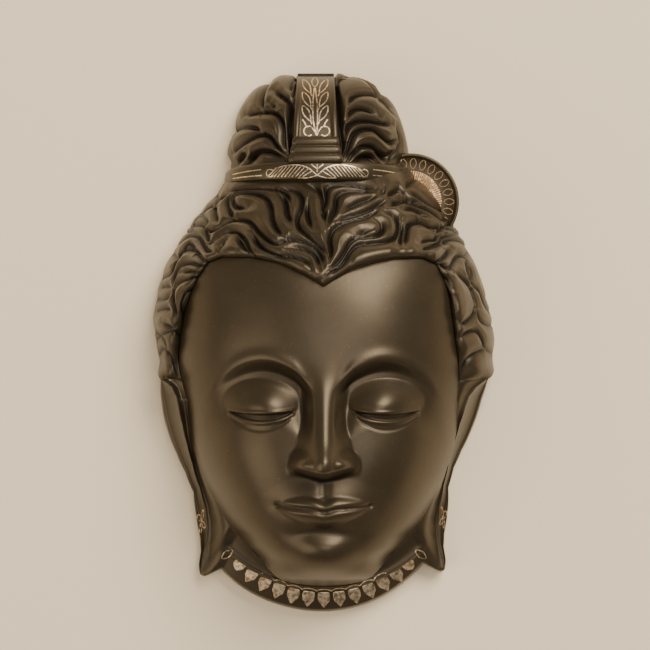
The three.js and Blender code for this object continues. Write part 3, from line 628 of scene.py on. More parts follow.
def makeHead(material):
    size = headMesh
    angles = wholeTurn(size["columns"])
    share = (np.arange(1, size["faceRings"] + 1) / (size["faceRings"] + 0.06)) ** 0.95
    x, y = fromPolar(angles, faceRadius(angles) * share[:, None])
    face = np.stack([x, y, faceZ(x, y)], -1)
    radius = edgeRadii(angles, size["edgeRows"])
    angle = np.repeat(angles[:, None], size["edgeRows"] + 1, 1)
    underHair = 1 - smooth(earStart - 0.06, earStart + 0.01, np.abs(angle))
    edge = onHead(angle, radius, edgeZ(angle, radius))
    edge = edge - hairNormal(angle, radius) * (size["sunk"] * underHair)[..., None]
    rings = np.concatenate([face, seated(edge).transpose(1, 0, 2)])
    head = domeObject("head_casting", (0, centreY, faceZ(0.0, centreY)), rings, (0, centreY, 0), material)
    # the cloth didn't reach into the face's grooves
    reach = size["clothReach"]
    around = (faceZ(x + reach, y) + faceZ(x - reach, y) + faceZ(x, y + reach) + faceZ(x, y - reach)) / 4
    polish = np.full(rings.shape[:2], evenPolish)
    polish[:len(share)] += np.clip(0.9 * (face[..., 2] - around), -0.55, 0.15) * (share < 0.97)[:, None]
    writeAttribute(head, "polish", [evenPolish, *polish.ravel(), backPolish])
    cutBy(head, headHollow(material))
    cutBy(head, knotHollow(material))
    return head


hairMesh = {
    "columns": 660,
    "rows": 122,
    "innerRows": 8,
    "thickness": 3.6,
    "endAt": 0.05,  # angle past the top of the ear
    "sunkAtEar": 1.8,
    "fringeFoot": 2.4,  # the fringe's edge goes this deep into the skull
}


def makeHair(material):
    # a thick sheet over the skull: a section for each angle, from the fringe to the back plane and back
    size = hairMesh
    last = earStart + size["endAt"]
    angles = np.linspace(-last, last, size["columns"])
    radius = edgeRadii(angles, size["rows"])
    angle = np.repeat(angles[:, None], size["rows"] + 1, 1)
    a = np.abs(angle)
    base = onHead(angle, radius, edgeZ(angle, radius))
    normal = hairNormal(angle, radius)
    normal[:, -1, 2] = 0
    normal = unit(normal)
    relief, shine = lockRelief(base, leftLocks + rightLocks, skullTop, True)
    nearRim = smooth(-11, -1, radius - outlineRadius(angle))
    relief = relief * mix(1, locks["besideFace"], smooth(0.75, 1.35, a)) * mix(1, locks["atRim"], nearRim)
    relief = relief + locks["swell"] * nearRim * smooth(0.5, 0.9, a) * (1 - 0.8 * smooth(1.1, 1.4, -angle))
    atFringe = mix(0.35, 1, smooth(0, 2.2, radius - radius[:, :1]))
    aboveEar = 1 - smooth(earStart - 0.05, earStart + 0.02, a)
    sink = size["sunkAtEar"] * smooth(earStart - 0.02, last, a)
    outer = seated(base + normal * (relief * aboveEar * atFringe - sink)[..., None])
    rows = np.linspace(size["rows"], 0, size["innerRows"]).round().astype(int)
    inner = base[:, rows] - normal[:, rows] * size["thickness"]
    inner[:, 0, 2] = 0
    inner[:, 1:, 2] = np.maximum(inner[:, 1:, 2], 0.5)
    foot = outer[:, :1] - [0, 0, size["fringeFoot"]]
    sections = np.concatenate([foot, outer, inner], 1)
    item = sweptObject("hair", sections[:, ::-1], material)
    shines = np.concatenate([shine[:, :1], shine, np.full(inner.shape[:2], backPolish)], 1)
    writeAttribute(item, "polish", shines[:, ::-1].ravel())
    cutBy(item, knotHollow(material))
    return item


def skullTop(x, y):
    angle, radius = polar(x, y)
    return edgeZ(angle, np.minimum(radius, outlineRadius(angle)))


def hollowDome(centre, reach, depth, curve, sides, steps, material):
    # what a core leaves open, 3 mm past the back plane for a clean cut; reach is half its width and height
    angles = wholeTurn(sides)
    share = np.sin(np.arange(1, steps + 1) / steps * np.pi / 2)[:, None]
    z = depth * np.sqrt(np.maximum(0, 1 - share ** curve)) + 0 * angles
    x, y = (centre[i] + reach[i] * share * side(angles) for i, side in enumerate((np.sin, np.cos)))
    rings = np.stack([x, y, z], -1)
    rings = np.concatenate([rings, rings[-1:] - [0, 0, 3]])
    return domeObject("hollow", (*centre, depth), rings, (*centre, -3), material)


def headHollow(material):
    sides = headMesh["hollowColumns"]
    angles = wholeTurn(sides)
    hairInset = outlineRadius(angles) - headForm["wall"]
    faceInset = np.minimum(hairInset, faceRadius(angles) - headForm["wall"] * 0.7)
    inset = mix(hairInset, faceInset, smooth(earStart - 0.5, earStart + 0.1, np.abs(angles)))
    return hollowDome((0, centreY), (inset, inset), headForm["hollowDepth"], 2.3, sides, 18, material)


def knotHollow(material):
    inside = headForm["wall"] + knot["moreWall"]
    reach = (knot["halfWidth"] - inside, knot["rise"] - headForm["wall"] + 3)
    centre = (knot["x"], knot["baseY"] - 7)
    return hollowDome(centre, reach, knot["depth"] - inside - 1, 2, 48, 14, material)


# Topknot, strap, moulding and hair band
knotMesh = {"columns": 480, "rings": 150, "dressedBy": 1.9}  # the locks lie this much lower beside the strap


def makeKnot(material):
    size = knotMesh
    centre = (knot["x"], knot["baseY"] + 8)
    angles = wholeTurn(size["columns"])
    # the knot's edge at each angle, closed in on by halves
    near = np.zeros(len(angles))
    far = near + 60
    for halving in range(26):
        r = (near + far) / 2
        inside = knotForm(*fromPolar(angles, r, centre)) > 0
        near = np.where(inside, r, near)
        far = np.where(inside, far, r)
    share = np.sin(np.arange(1, size["rings"] + 1) / size["rings"] * np.pi / 2)
    x, y = fromPolar(angles, near * share[:, None], centre)
    z = knotForm(x, y)
    z[-1] = 0
    base = np.stack([x, y, z], -1)
    relief, shape = lockRelief(base, knotLocks, knotForm, False)
    # the locks stay under the strap and the band
    fromStrap = np.abs(x - strap["x"]) - strapHalf(y)
    besideStrap = 1 - smooth(0.3, mix(3.5, 1.1, smooth(84, 95, y)), fromStrap)
    dressed = np.maximum(besideStrap, 1 - smooth(66, 70, y))
    relief = relief - size["dressedBy"] * dressed
    rings = base + unit(base - [*centre, 0]) * relief[..., None]
    item = domeObject("topknot", (*centre, knotForm(*centre)), rings, (*centre, 0), material)
    writeAttribute(item, "polish", [evenPolish, *shape.ravel(), 0.5])
    cutBy(item, knotHollow(material))
    cutBy(item, headHollow(material))
    return item


strap = {
    "x": -3.0,
    "width": 16.0,
    "topWidth": 13.4,
    "border": 2.0,
    "proud": 1.2,
    "borderProud": 0.7,
    "mouldingWidth": 16.6,
    "mouldingHeight": 9.0,
    "mouldingProud": 1.5,
    "ridges": 3,
}
band = {"height": 6.6, "endHeight": 3.4, "proud": 1.6, "coil": 0.6, "footY": 58.4}
bandHalf = knot["halfWidth"] + band["coil"]
strapBottom = band["footY"] + band["height"] + strap["mouldingHeight"] - 0.5
strapTop = knot["baseY"] + knot["rise"] + strap["proud"]


def crownLine(y):
    # height of the knot along its middle, over the back plane
    return knotForm(knot["x"], np.minimum(y, knot["baseY"] + knot["rise"] - 0.01))


def sweptObject(name, sections, material):
    sections = np.asarray(sections, float)
    steps, count = sections.shape[:2]
    faces = ringFaces(steps, count).tolist()
    faces += [list(range(count))[::-1], [(steps - 1) * count + j for j in range(count)]]
    return newObject(name, sections.reshape(-1, 3), faces, material)


def strapHalf(y):
    return mix(strap["width"], strap["topWidth"], (y - strapBottom) / (strapTop - strapBottom)) / 2


def strapFront(u, half):
    # cross-section of the strap: a flat panel between two rounded borders, u from -1 to 1 across
    fromEdge = half - np.abs(u) * half
    rounded = np.sqrt(np.clip(1 - ((fromEdge - strap["border"] / 2) / (strap["border"] / 2)) ** 2, 0, 1))
    return strap["proud"] + np.where(fromEdge < strap["border"], strap["borderProud"] * rounded, 0)


def makeStrap(material):
    u = np.concatenate([np.linspace(-1, -0.73, 9), np.linspace(-0.68, 0.68, 9), np.linspace(0.73, 1, 9)])
    sections, polish = [], []
    for t in np.linspace(0, np.pi / 2, 60):
        y = mix(strapBottom, strapTop, math.sin(t))
        z = crownLine(y)
        half = strapHalf(y)
        x = strap["x"] + u * half
        # near the top the strap turns over the end of the knot, and its borders run out
        turn = smooth(0.9, 1.0, math.sin(t))
        lift = mix(strapFront(u, half), strap["proud"], turn)
        front = np.stack([x, np.full(len(x), y), z + lift * (1 - 0.6 * turn)], -1)
        back = np.array([[x[-1], y - turn, max(z - 3, 0)], [x[0], y - turn, max(z - 3, 0)]])
        sections.append(np.concatenate([front, back]))
        # painted shade: the strap's top turn gets a low polish, so it is coloured dark like a groove where it
        # faces up to the lamps
        polish += [mix(0.8, 0.2, turn)] * len(sections[-1])
    item = sweptObject("topknot_strap", sections, material)
    writeAttribute(item, "polish", polish)
    return item


def makeMoulding(material):
    sections = []
    top = strapBottom + 0.4
    bottom = strapBottom - strap["mouldingHeight"]
    for y in np.linspace(bottom, top, 60):
        t = (y - bottom) / (top - bottom)
        ridge = 0.8 * abs(math.sin(t * math.pi * strap["ridges"])) ** 0.6
        z = crownLine(y) + strap["mouldingProud"] + ridge
        half = strap["mouldingWidth"] / 2 + mix(1.4, -0.4, t) + ridge * 0.4
        x = strap["x"] + np.array([-half, -half * 0.96, -half * 0.8, 0, half * 0.8, half * 0.96, half])
        rise = np.array([-0.9, -0.25, 0, 0.15, 0, -0.25, -0.9])
        front = np.stack([x, np.full(7, y), z + rise], -1)
        back = np.array([[x[-1], y, z - 6], [x[0], y, z - 6]])
        sections.append(np.concatenate([front, back]))
    return sweptObject("strap_moulding", sections, material)


def bandHeight(t):
    return mix(band["endHeight"], band["height"], np.sin(t) ** 0.8)


def bandPoint(t, proud, up):
    # a place on the hair band: t is the angle round the knot from the left, up a share of the band's height
    out = unit(np.stack([-np.cos(t) * knot["depth"], np.sin(t) * bandHalf], -1))
    across, rise = (np.sign(v) * np.abs(v) ** (2 / knot["square"]) for v in (np.cos(t), np.sin(t)))
    return np.stack([knot["x"] - bandHalf * across + out[..., 0] * proud, band["footY"] + bandHeight(t) * up,
                     knot["depth"] * rise + out[..., 1] * proud], -1)


def bandProud(up):
    return band["proud"] * (0.55 + 0.45 * np.sin(np.pi * up) ** 0.5)


def makeBand(material):
    up = np.linspace(1, 0, 13)
    proud = np.array([-3, *bandProud(up), -3])
    up = np.array([1, *up, 0])
    t = np.radians(np.linspace(0.6, 179.4, 150))
    sections = bandPoint(t[:, None] + 0 * up, proud, up)
    sections[..., 2] = np.maximum(sections[..., 2], 0.02)
    return sweptObject("hair_band", sections, material)


# Medallion
medallion = {
    "radius": 17.8,
    "thickness": 3.6,
    "x": 31.9,
    "y": 51.4,
    "frontZ": 12.0,
    "rimWidth": 1.2,
    "rimHeight": 0.5,
    "dish": 0.4,
    "sheetRadius": 11.6,
    "petals": 25,
    "flutes": 80,
    "fluteDepth": 0.03,
    "petalWidth": 2.3,
    "line": 0.3,
}


def latheObject(name, profile, sides, centre, material):
    # profile is radii and heights from the middle of the front round to the middle of the back
    angles = np.linspace(0, 2 * np.pi, sides, endpoint=False)[::-1]
    radius, height = np.array(profile, float)[1:-1, :, None].transpose(1, 0, 2)
    rings = np.stack([radius * np.cos(angles), radius * np.sin(angles), height + 0 * angles], -1) + centre
    ends = [np.add(centre, (0, 0, profile[i][1])) for i in (0, -1)]
    return domeObject(name, ends[0], rings, ends[1], material)


def makeMedallion(material):
    m = medallion
    rim = m["radius"] - m["rimWidth"]
    profile = [(0, -m["dish"]), (m["sheetRadius"], -m["dish"]), (rim - 0.7, -m["dish"]), (rim - 0.3, 0)]
    for i in range(9):
        t = math.pi * i / 8
        across = (1 - math.cos(t)) / 2 * 0.95
        profile.append((rim + m["rimWidth"] * across, m["rimHeight"] * (0.4 + 0.6 * math.sin(t))))
    back = -m["thickness"]
    profile += [(m["radius"], -0.5), (m["radius"], back + 0.8), (m["radius"] - 0.8, back), (0, back)]
    return latheObject("medallion", profile, 160, (m["x"], m["y"], m["frontZ"]), material)


# Silver wire: closed ribbons let into a surface
wire = {"proud": 0.07, "sunk": 0.35}


class Strands:
    # gathers ribbons laid on one surface; place(x, y) gives the point over the head's own x and y
    def __init__(self, place):
        self.place = place
        self.points = []
        self.faces = []

    def normal(self, x, y):
        step = 0.12
        alongX = self.place(x + step, y) - self.place(x - step, y)
        alongY = self.place(x, y + step) - self.place(x, y - step)
        return unit(np.cross(alongX, alongY))

    def add(self, path, width, closed=False, step=0.45):
        path = np.array([*path, path[0]] if closed else path, float)
        length = runLength(path)[-1]
        at = np.linspace(0, length, max(3, int(length / step)) + 1)
        x, y = resample(path, at[:-1] if closed else at).T
        point, normal = self.place(x, y), self.normal(x, y)
        ahead = np.roll(point, -1, 0) - np.roll(point, 1, 0)
        if not closed:
            ahead[0] = point[1] - point[0]
            ahead[-1] = point[-1] - point[-2]
        side = unit(np.cross(ahead, normal)) * width / 2
        top, down = point + normal * wire["proud"], normal * wire["sunk"]
        corners = [point - side - down, top - side * 0.86, top + side * 0.86, point + side - down]
        first, count = len(self.points), len(point)
        self.points += np.stack(corners, 1).reshape(-1, 3).tolist()
        self.faces += (ringFaces(count + closed, 4)[:, [1, 2, 3, 0]] % (4 * count) + first).tolist()
        if not closed:
            last = first + 4 * count - 4
            self.faces += [[first + 3, first + 2, first + 1, first], [last, last + 1, last + 2, last + 3]]

    def make(self, name, material):
        return newObject(name, self.points, self.faces, material, False)


def leaf(foot, tip, width, fullAt=0.5):
    # outline of a leaf from its foot to its pointed tip
    foot = np.array(foot, float)
    along = tip - foot
    across = np.array([-along[1], along[0]]) / np.hypot(*along)
    t = np.linspace(0, 2 * np.pi, 26, endpoint=False)
    run = ((1 - np.cos(t)) / 2) ** (math.log(0.5) / math.log(1 - fullAt))
    half = np.sin(t) * (0.55 + 0.45 * np.sin(t) ** 2) * width / 2
    return foot + run[:, None] * along + half[:, None] * across


def curlPath(centre, radius, start, turn):
    t = np.radians(np.linspace(start, start + turn, 22))
    return np.stack([centre[0] + radius * np.cos(t), centre[1] + radius * np.sin(t)], 1)


def aside(x, y, side, points):
    # points given outwards and upwards from x, y, to the right (side 1) or the left (-1)
    return [(x + side * out, y + up) for out, up in points]


def collarPlace(x, y):
    return np.stack([x, y, collarZ(*polar(x, y))], -1)


def strapPlace(x, y):
    return np.stack([x, y, crownLine(y) + strap["proud"]], -1)


def bandPlace(x, y):
    across = np.clip((knot["x"] - x) / (bandHalf + band["proud"]), -0.9999, 0.9999)
    t = np.arccos(np.sign(across) * np.abs(across) ** (knot["square"] / 2))
    up = np.clip((y - band["footY"]) / bandHeight(t), 0.02, 0.98)
    return bandPoint(t, bandProud(up), up)


strapInlay = {
    "footY": 74.4,
    "leafRises": (79.7, 85.0, 90.3),
    "leafLength": 5.7,
    "leafWidth": 2.3,
    "curlRadius": 1.75,
    "line": 0.5,
}


def makeStrapInlay(material):
    # a sprig: two curls at its foot, two stems that meet at the top leaf, and three pairs of leaves
    strands = Strands(strapPlace)
    p = strapInlay
    x, foot, line = strap["x"] + 0.4, p["footY"], p["line"]
    for a, b, c in ((-1.2, -1.4, -1.1), (0.3, 0.2, -0.3)):
        strands.add(bend(aside(x, foot, 1, [(0, 0), (a, 5), (b, 11), (c, 16), (-0.7, 18.8)])), line)
    strands.add(leaf(*aside(x - 0.7, foot, 1, [(0, 18.4), (0, 22.8)]), p["leafWidth"]), line, closed=True)
    for side in (-1, 1):
        inner = x - 0.6 + side * 1.6
        for rise in p["leafRises"]:
            ends = aside(inner, rise, side, [(0, 0), (2.9, p["leafLength"])])
            strands.add(leaf(*ends, p["leafWidth"], 0.55), line, closed=True)
            strands.add(bend(aside(inner, rise, side, [(0, 0), (-0.5, -1.2)]), 3), line)
        strands.add(bend(aside(inner, foot, side, [(3.0, 5.9), (2.1, 4.6), (1.6, 3.4)])), line)
        curl = curlPath((x + side * 2.9, foot + 1.6), p["curlRadius"], 90 + side * 60, -side * 280)
        strands.add([*aside(x, foot, side, [(0, 0), (0.6, 1.4)]), *curl], line)
    return strands.make("strap_inlay", material)


bandInlay = {
    "reach": 18.0,
    "rise": 4.5,
    "strokes": 11,
    "strokeStep": 1.3,
    "strokeLine": 0.3,
    "curlRadius": 1.35,
    "lineTo": 31.0,
    "line": 0.42,
}


def makeBandInlay(material):
    # two wings of slanting strokes that meet in the middle, each with a curl at its end and two lines beyond
    strands = Strands(bandPlace)
    p = bandInlay
    x, foot, line = strap["x"] + 0.6, band["footY"] + 0.6, p["line"]
    wing = [(0, 1.0), (3.4, 3.7), (7.0, p["rise"] + 0.2), (11.5, p["rise"]), (15, p["rise"] - 0.9)]
    wingTop = curveThrough(wing)
    across = np.linspace(p["reach"] + 2.2, p["lineTo"], 10)
    height = mix(band["height"], band["endHeight"], (across / bandHalf) ** 3)
    for side in (-1, 1):
        strands.add(bend(aside(x, foot, side, wing), 30), line)
        strands.add(bend(aside(x, foot, side, [(0, 1.0), (3.4, 0.1), (7.0, 0.1)])), line)
        for i in range(p["strokes"]):
            near = 2 + i * p["strokeStep"]
            top = wingTop(near)
            stroke = [(near + 3.3, 0.5), (near + 1.2, mix(0.3, top, 0.6)), (near, top - 0.3)]
            strands.add(bend(aside(x, foot, side, stroke), 7), p["strokeLine"])
        middle = (x + side * (p["reach"] - 0.9), foot + 1.9)
        curl = curlPath(middle, p["curlRadius"], 90 + side * 50, -side * 290)
        strands.add([*aside(x, foot, side, wing[-1:]), *curl], line)
        strands.add(aside(x, foot, side, [(0, 3.3), (2.2, 4.9)]), line)
        for rise in (0.3, 0.66):
            strands.add(aside(x, band["footY"], side, zip(across, rise * height)), line)
    strands.add([(x, foot + 2.2), (x, foot + 5.0)], line)
    return strands.make("band_inlay", material)


# Medallion's silver
def makeMedallionSheet(material):
    m = medallion
    radius = m["sheetRadius"] - 0.1
    floorZ = m["frontZ"] - m["dish"]
    profile = [(0, 0.12), (radius * 0.2, 0.12), (radius - 0.25, 0.1), (radius, 0.02), (radius, -0.5),
               (0, -0.5)]
    item = latheObject("medallion_sheet", profile, m["flutes"] * 6, (m["x"], m["y"], floorZ), material)
    # fine lines are chased into it from the middle outwards
    for vertex in item.data.vertices:
        x, y = vertex.co.x / mm - m["x"], vertex.co.y / mm - m["y"]
        if vertex.co.z / mm > floorZ + 0.05 and math.hypot(x, y) > 1:
            vertex.co.z += m["fluteDepth"] * mm * math.cos(math.atan2(y, x) * m["flutes"])
    return item


def makeMedallionPetals(material):
    m = medallion

    def place(x, y):
        return np.stack([x, y, np.full(np.shape(x), m["frontZ"] - m["dish"])], -1)

    strands = Strands(place)
    reach = (m["sheetRadius"] + 0.5, m["radius"] - m["rimWidth"] - 0.5)
    for i in range(m["petals"]):
        angle = math.pi / 2 - 2 * math.pi * i / m["petals"]
        ends = [fromPolar(angle, r, (m["x"], m["y"])) for r in reach]
        strands.add(leaf(*ends, m["petalWidth"]), m["line"], closed=True, step=0.6)
    return strands.make("medallion_petals", material)


# Collar petals and border
petals = {
    "count": 13,
    "width": 4.5,
    "length": 6.6,
    "step": 7.3,
    "radius": 45.6,
    "thickness": 0.8,
    "proud": 0.12,
    "scallopLine": 0.36,
    "endWidth": 2.4,
    "endLine": 0.45,
}


def petalOutline():
    # a spade: flat top, two shoulders, the point away from the face
    w, top = petals["width"] / 2, petals["length"] / 2
    half = np.array([(0, 0.96), (0.5, 1), (0.88, 0.94), (1, 0.55), (0.96, 0.05), (0.84, -0.22), (0.62, -0.36),
                     (0.5, -0.52), (0.26, -0.78), (0, -1)]) * (w, top)
    return np.concatenate([half, half[-2:0:-1] * (-1, 1)])


def onCollar(turn, radius):
    return radius * np.sin(turn), collar["centreY"] - radius * np.cos(turn)


def makePetal(index, material):
    turn = math.radians((index - (petals["count"] - 1) / 2) * petals["step"])
    x, y = onCollar(turn, petals["radius"])
    angle, radius = polar(x, y)
    fall = math.atan2(collarZ(angle, radius - 1.5) - collarZ(angle, radius + 1.5), 3)
    pose = np.array(Matrix.Rotation(turn, 3, "Z") @ Matrix.Rotation(fall, 3, "X")).T
    seat = (x, y, collarZ(angle, radius))
    proud, back = petals["proud"], -petals["thickness"]
    outline = petalOutline()
    rings = [np.column_stack([outline * size, np.full(len(outline), height)]) @ pose + seat
             for size, height in ((0.6, proud * 1.15), (0.93, proud), (1, proud * 0.2), (1, back))]
    top, foot = (pose[2] * height + seat for height in (proud * 1.2, back))
    return domeObject(f"collar_petal_{index + 1:02d}_silver", top, np.stack(rings), foot, material, False)


def makeCollarInlay(material):
    # scallops over the middle petals, and a leaf at each end of the row
    strands = Strands(collarPlace)
    p = petals
    reach = p["radius"] + 0.6
    t = np.linspace(-1, 1, 11)
    scallop = reach - p["length"] / 2 - 1.5 + 0.9 * np.abs(t) ** 3
    for i in range(2, p["count"] - 2):
        turn = np.radians((i - (p["count"] - 1) / 2 + t / 2) * p["step"])
        strands.add(np.stack(onCollar(turn, scallop), 1), p["scallopLine"])
    for side in (-1, 1):
        turn = math.radians(side * p["step"] * (p["count"] + 1) / 2)
        ends = onCollar(turn, reach - 3), onCollar(turn, reach + 2)
        strands.add(leaf(*ends, p["endWidth"]), p["endLine"], closed=True)
    return strands.make("collar_inlay", material)


earInlay = {"y": -65.2, "spread": 1.7, "rise": 3.7, "leafWidth": 1.5, "line": 0.42, "slope": 6.0}


def makeEarInlay(side, material):
    # four leaves crossed on the slope outside the ear's ridge; across is measured down that slope
    def place(across, y):
        angle, radius = polar(side * 44.0, y)
        share = 0.5 + side * across / earInlay["slope"]
        radius = mix(earRadius(angle), outlineRadius(angle), np.clip(share, 0.02, 0.98))
        return onHead(angle, radius, earZ(angle, radius))

    strands = Strands(place)
    p = earInlay
    for up in (-1, 1):
        for across in (-1, 1):
            tip = (across * p["spread"], p["y"] + up * p["rise"])
            strands.add(leaf((0, p["y"]), tip, p["leafWidth"]), p["line"], closed=True, step=0.35)
    return strands.make("ear_inlay_right" if side > 0 else "ear_inlay_left", material)


# Materials
def linear(hexColour):
    parts = [int(hexColour[i:i + 2], 16) / 255 for i in (1, 3, 5)]
    return tuple(c / 12.92 if c <= 0.04045 else ((c + 0.055) / 1.055) ** 2.4 for c in parts) + (1,)


def perMm(size):
    # pattern scale for features of so many millimetres
    return 1 / (size * mm)


def addNode(tree, kind, settings=None, stops=(), **links):
    # one node, its plain settings, a ramp's two stops, and what is linked or set on its inputs
    node = tree.nodes.new("ShaderNode" + kind)
    for name, value in (settings or {}).items():
        setattr(node, name, value)
    for i, (position, colour) in enumerate(stops):
        node.color_ramp.elements[i].position = position
        node.color_ramp.elements[i].color = colour
    for name, value in links.items():
        socket = node.inputs[int(name[1:]) if name[1:].isdigit() else name.replace("_", " ")]
        if isinstance(value, bpy.types.NodeSocket):
            tree.links.new(value, socket)
        else:
            socket.default_value = value
    return node


def grey(value):
    return (value, value, value, 1)


def newMaterial(name):
    # an empty material, and the function that adds a node to it
    material = bpy.data.materials.new(name)
    material.use_nodes = True
    material.node_tree.nodes.clear()
    return material, partial(addNode, material.node_tree)


alloy = {
    "crest": "#493E2D",  # where the polishing cloth reached
    # the groove colour is also painted shade on the strap's top turn
    "groove": "#1A150E",
    "dust": "#8F8468",
    "metallic": 0.6,
    "roughCrest": 0.30,
    "roughGroove": 0.46,
    "brushMm": 0.5,
    "pitMm": 1.6,
    "cloudMm": 16.667,
    "dustMm": 0.45455,
}


def makeAlloy():
    # cast zinc alloy, filed, brushed and turned black in a paste of soil and salt, then oiled: dark
    # brown-black with a soft sheen, paler and smoother on crests that the cloth reached, dull in the grooves,
    # and darker as painted shade on the strap's top turn
    material, add = newMaterial("blackened_zinc_alloy")
    place = add("TexCoord").outputs["Object"]
    polish = add("Attribute", {"attribute_name": "polish"}).outputs["Fac"]
    cloud = add("TexNoise", Vector=place, Scale=perMm(alloy["cloudMm"]), Detail=4,
                Roughness=0.6).outputs["Fac"]
    # fine brush lines run up the head
    stretched = add("Mapping", Vector=place, Scale=(1, 0.06, 0.5)).outputs["Vector"]
    brush = add("TexNoise", Vector=stretched, Scale=perMm(alloy["brushMm"]), Detail=3,
                Roughness=0.7).outputs["Fac"]
    cells = add("TexVoronoi", Vector=place, Scale=perMm(alloy["pitMm"])).outputs["Distance"]
    pits = add("ValToRGB", stops=((0, grey(1)), (0.16, grey(0))), i0=cells).outputs["Color"]
    toneStops = ((0.1, linear(alloy["groove"])), (0.75, linear(alloy["crest"])))
    tone = add("ValToRGB", stops=toneStops, i0=polish).outputs["Color"]
    stain = add("ValToRGB", stops=((0.3, grey(0.6)), (0.7, grey(1))), i0=cloud).outputs["Color"]
    mottled = add("Mix", {"data_type": "RGBA", "blend_type": "MULTIPLY"}, i0=0.5, i6=tone,
                  i7=stain).outputs[2]
    specks = add("TexNoise", Vector=place, Scale=perMm(alloy["dustMm"]), Detail=1).outputs["Fac"]
    dust = add("ValToRGB", stops=((0.74, grey(0)), (0.82, grey(0.7))), i0=specks).outputs["Color"]
    dusty = add("Mix", {"data_type": "RGBA"}, i0=dust, i6=mottled, i7=linear(alloy["dust"])).outputs[2]
    rough = add("MapRange", Value=polish, From_Min=0.1, From_Max=0.9, To_Min=alloy["roughGroove"],
                To_Max=alloy["roughCrest"]).outputs["Result"]
    rough = add("Math", {"operation": "MULTIPLY_ADD"}, i0=brush, i1=0.10, i2=rough).outputs[0]
    bumps = add("Bump", Strength=0.25, Distance=0.02 * mm, Height=brush).outputs["Normal"]
    bumps = add("Bump", {"invert": True}, Strength=0.35, Distance=0.08 * mm, Height=pits,
                Normal=bumps).outputs["Normal"]
    bumps = add("Bump", Strength=0.3, Distance=0.25 * mm, Height=cloud, Normal=bumps).outputs["Normal"]
    shader = add("BsdfPrincipled", Base_Color=dusty, Metallic=alloy["metallic"], Roughness=rough,
                 Normal=bumps)
    add("OutputMaterial", Surface=shader.outputs["BSDF"])
    return material


silver = {"face": "#E6D2B4", "tarnish": "#80664A", "rough": 0.4, "scratchMm": 0.3, "cloudMm": 1.42857}
# tarnish of each piece by part of its name, from 0 bright to 1 brown
tarnishOf = {"medallion_sheet": 0.75, "medallion_petals": 1.0, "petal": 0.15, "ear": 0.2, "": 0.1}


def makeSilver():
    # sheet and drawn wire of pure silver, hammered into cut grooves and scraped level: bright and warm,
    # finely scratched, with brown tarnish in its low spots
    material, add = newMaterial("silver_sheet")
    place = add("TexCoord").outputs["Object"]
    cloud = add("TexNoise", Vector=place, Scale=perMm(silver["cloudMm"]), Detail=4,
                Roughness=0.6).outputs["Fac"]
    stretched = add("Mapping", Vector=place, Rotation=(0, 0, 0.7), Scale=(1, 0.12, 1)).outputs["Vector"]
    scratch = add("TexNoise", Vector=stretched, Scale=perMm(silver["scratchMm"]), Detail=2).outputs["Fac"]
    tarnish = add("Attribute", {"attribute_name": "tarnish"}).outputs["Fac"]
    level = add("Math", {"operation": "MULTIPLY_ADD"}, i0=tarnish, i1=-0.3, i2=cloud).outputs[0]
    toneStops = ((0.3, linear(silver["tarnish"])), (0.56, linear(silver["face"])))
    tone = add("ValToRGB", stops=toneStops, i0=level).outputs["Color"]
    rough = add("MapRange", Value=scratch, From_Min=0.3, From_Max=0.7, To_Min=silver["rough"] - 0.08,
                To_Max=silver["rough"] + 0.12).outputs["Result"]
    bumps = add("Bump", Strength=0.4, Distance=0.03 * mm, Height=scratch).outputs["Normal"]
    bumps = add("Bump", Strength=0.5, Distance=0.06 * mm, Height=cloud, Normal=bumps).outputs["Normal"]
    shader = add("BsdfPrincipled", Base_Color=tone, Metallic=1, Roughness=rough, Normal=bumps)
    add("OutputMaterial", Surface=shader.outputs["BSDF"])
    return material


floorLook = {"colour": "#F3E2C4", "rough": 0.75, "size": 4.0}


def makeFloor():
    # smooth matt paint, pale and warm
    material, add = newMaterial("painted_table")
    shader = add("BsdfPrincipled", Base_Color=linear(floorLook["colour"]), Roughness=floorLook["rough"])
    add("OutputMaterial", Surface=shader.outputs["BSDF"])
    half = floorLook["size"] / 2 / mm
    points = [(-half, -half, 0), (half, -half, 0), (half, half, 0), (-half, half, 0)]
    item = newObject("floor", points, [[0, 1, 2, 3]], material, False)


lights = {  # soft boxes: place, size, watts and colour
    "key": ((0.55, 0.75, 1.1), (0.8, 0.8), 26, "#FFF6E8"),
    "fill": ((-0.9, -0.4, 0.8), (1.0, 1.0), 8, "#FFEFD8"),
    "top": ((0.2, -0.1, 1.5), (0.7, 0.7), 5, "#FFF8F0"),
}
air = {"colour": "#E8E2D8", "strength": 0.3, "lightsLookAt": (0, 0, 0.02)}


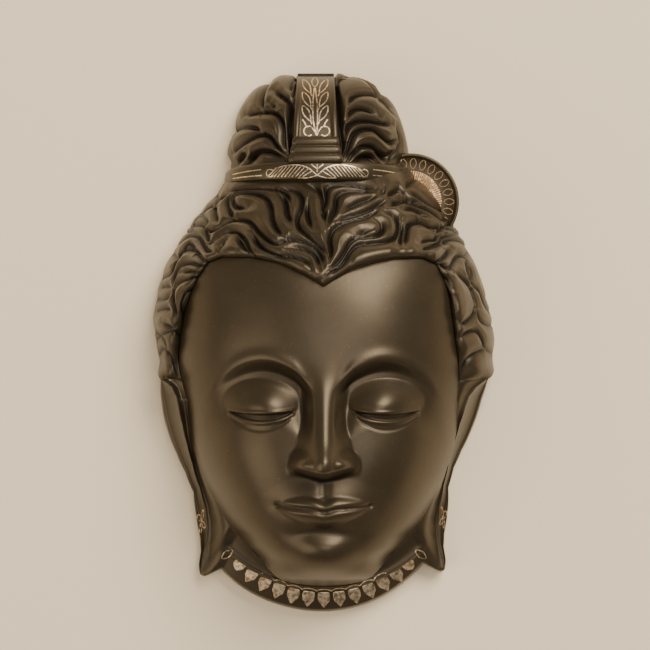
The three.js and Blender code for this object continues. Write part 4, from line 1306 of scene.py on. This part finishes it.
def addLight(name, at, size, power, colour):
    lamp = bpy.data.lights.new(name, "AREA")
    lamp.shape = "RECTANGLE"
    lamp.size, lamp.size_y = size
    lamp.energy = power
    lamp.color = linear(colour)[:3]
    item = bpy.data.objects.new(name, lamp)
    item.location = at
    item.rotation_euler = (Vector(air["lightsLookAt"]) - Vector(at)).to_track_quat("-Z", "Y").to_euler()
    scene.collection.objects.link(item)


def makeAir():
    world = bpy.data.worlds.new("studio")
    world.use_nodes = True
    inputs = world.node_tree.nodes["Background"].inputs
    inputs["Color"].default_value = linear(air["colour"])
    inputs["Strength"].default_value = air["strength"]
    scene.world = world


view = {
    "distance": 1.2,  # in metres, as the two below
    "lookAt": (0.0004, 0.0061),
    "widthAtPlane": 0.24115,  # of the whole picture
    "focal": 85.0,
}


def makeCamera():
    lens = bpy.data.cameras.new("camera")
    lens.lens = view["focal"]
    lens.sensor_width = view["widthAtPlane"] * view["focal"] / view["distance"]
    item = bpy.data.objects.new("camera", lens)
    item.location = (*view["lookAt"], view["distance"])
    scene.collection.objects.link(item)
    scene.camera = item


# Build
alloyMaterial = makeAlloy()
silverMaterial = makeSilver()
print("materials made")

head = makeHead(alloyMaterial)
print("head made", len(head.data.polygons))
castMakers = (makeHair, makeKnot, makeStrap, makeMoulding, makeBand, makeMedallion)
castPieces = [head] + [make(alloyMaterial) for make in castMakers]
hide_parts("casting")
print("casting pieces made")

silverMakers = (makeStrapInlay, makeBandInlay, makeMedallionSheet, makeMedallionPetals, makeCollarInlay)
silverPieces = [make(silverMaterial) for make in silverMakers]
silverPieces += [makeEarInlay(side, silverMaterial) for side in (-1, 1)]
for index in range(petals["count"]):
    petal = makePetal(index, silverMaterial)
    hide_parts(f"collar_petal_{index + 1:02d}")
    silverPieces.append(petal)
print("silver made")

for piece in castPieces:
    if "polish" not in piece.data.attributes:
        writeAttribute(piece, "polish", [evenPolish] * len(piece.data.vertices))
    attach(piece, "root")
for piece in silverPieces:
    dull = next(amount for part, amount in tarnishOf.items() if part in piece.name)
    writeAttribute(piece, "tarnish", [dull] * len(piece.data.vertices))
    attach(piece, "root")

makeFloor()
for name, look in lights.items():
    addLight(name, *look)
makeAir()
makeCamera()
print("studio made")
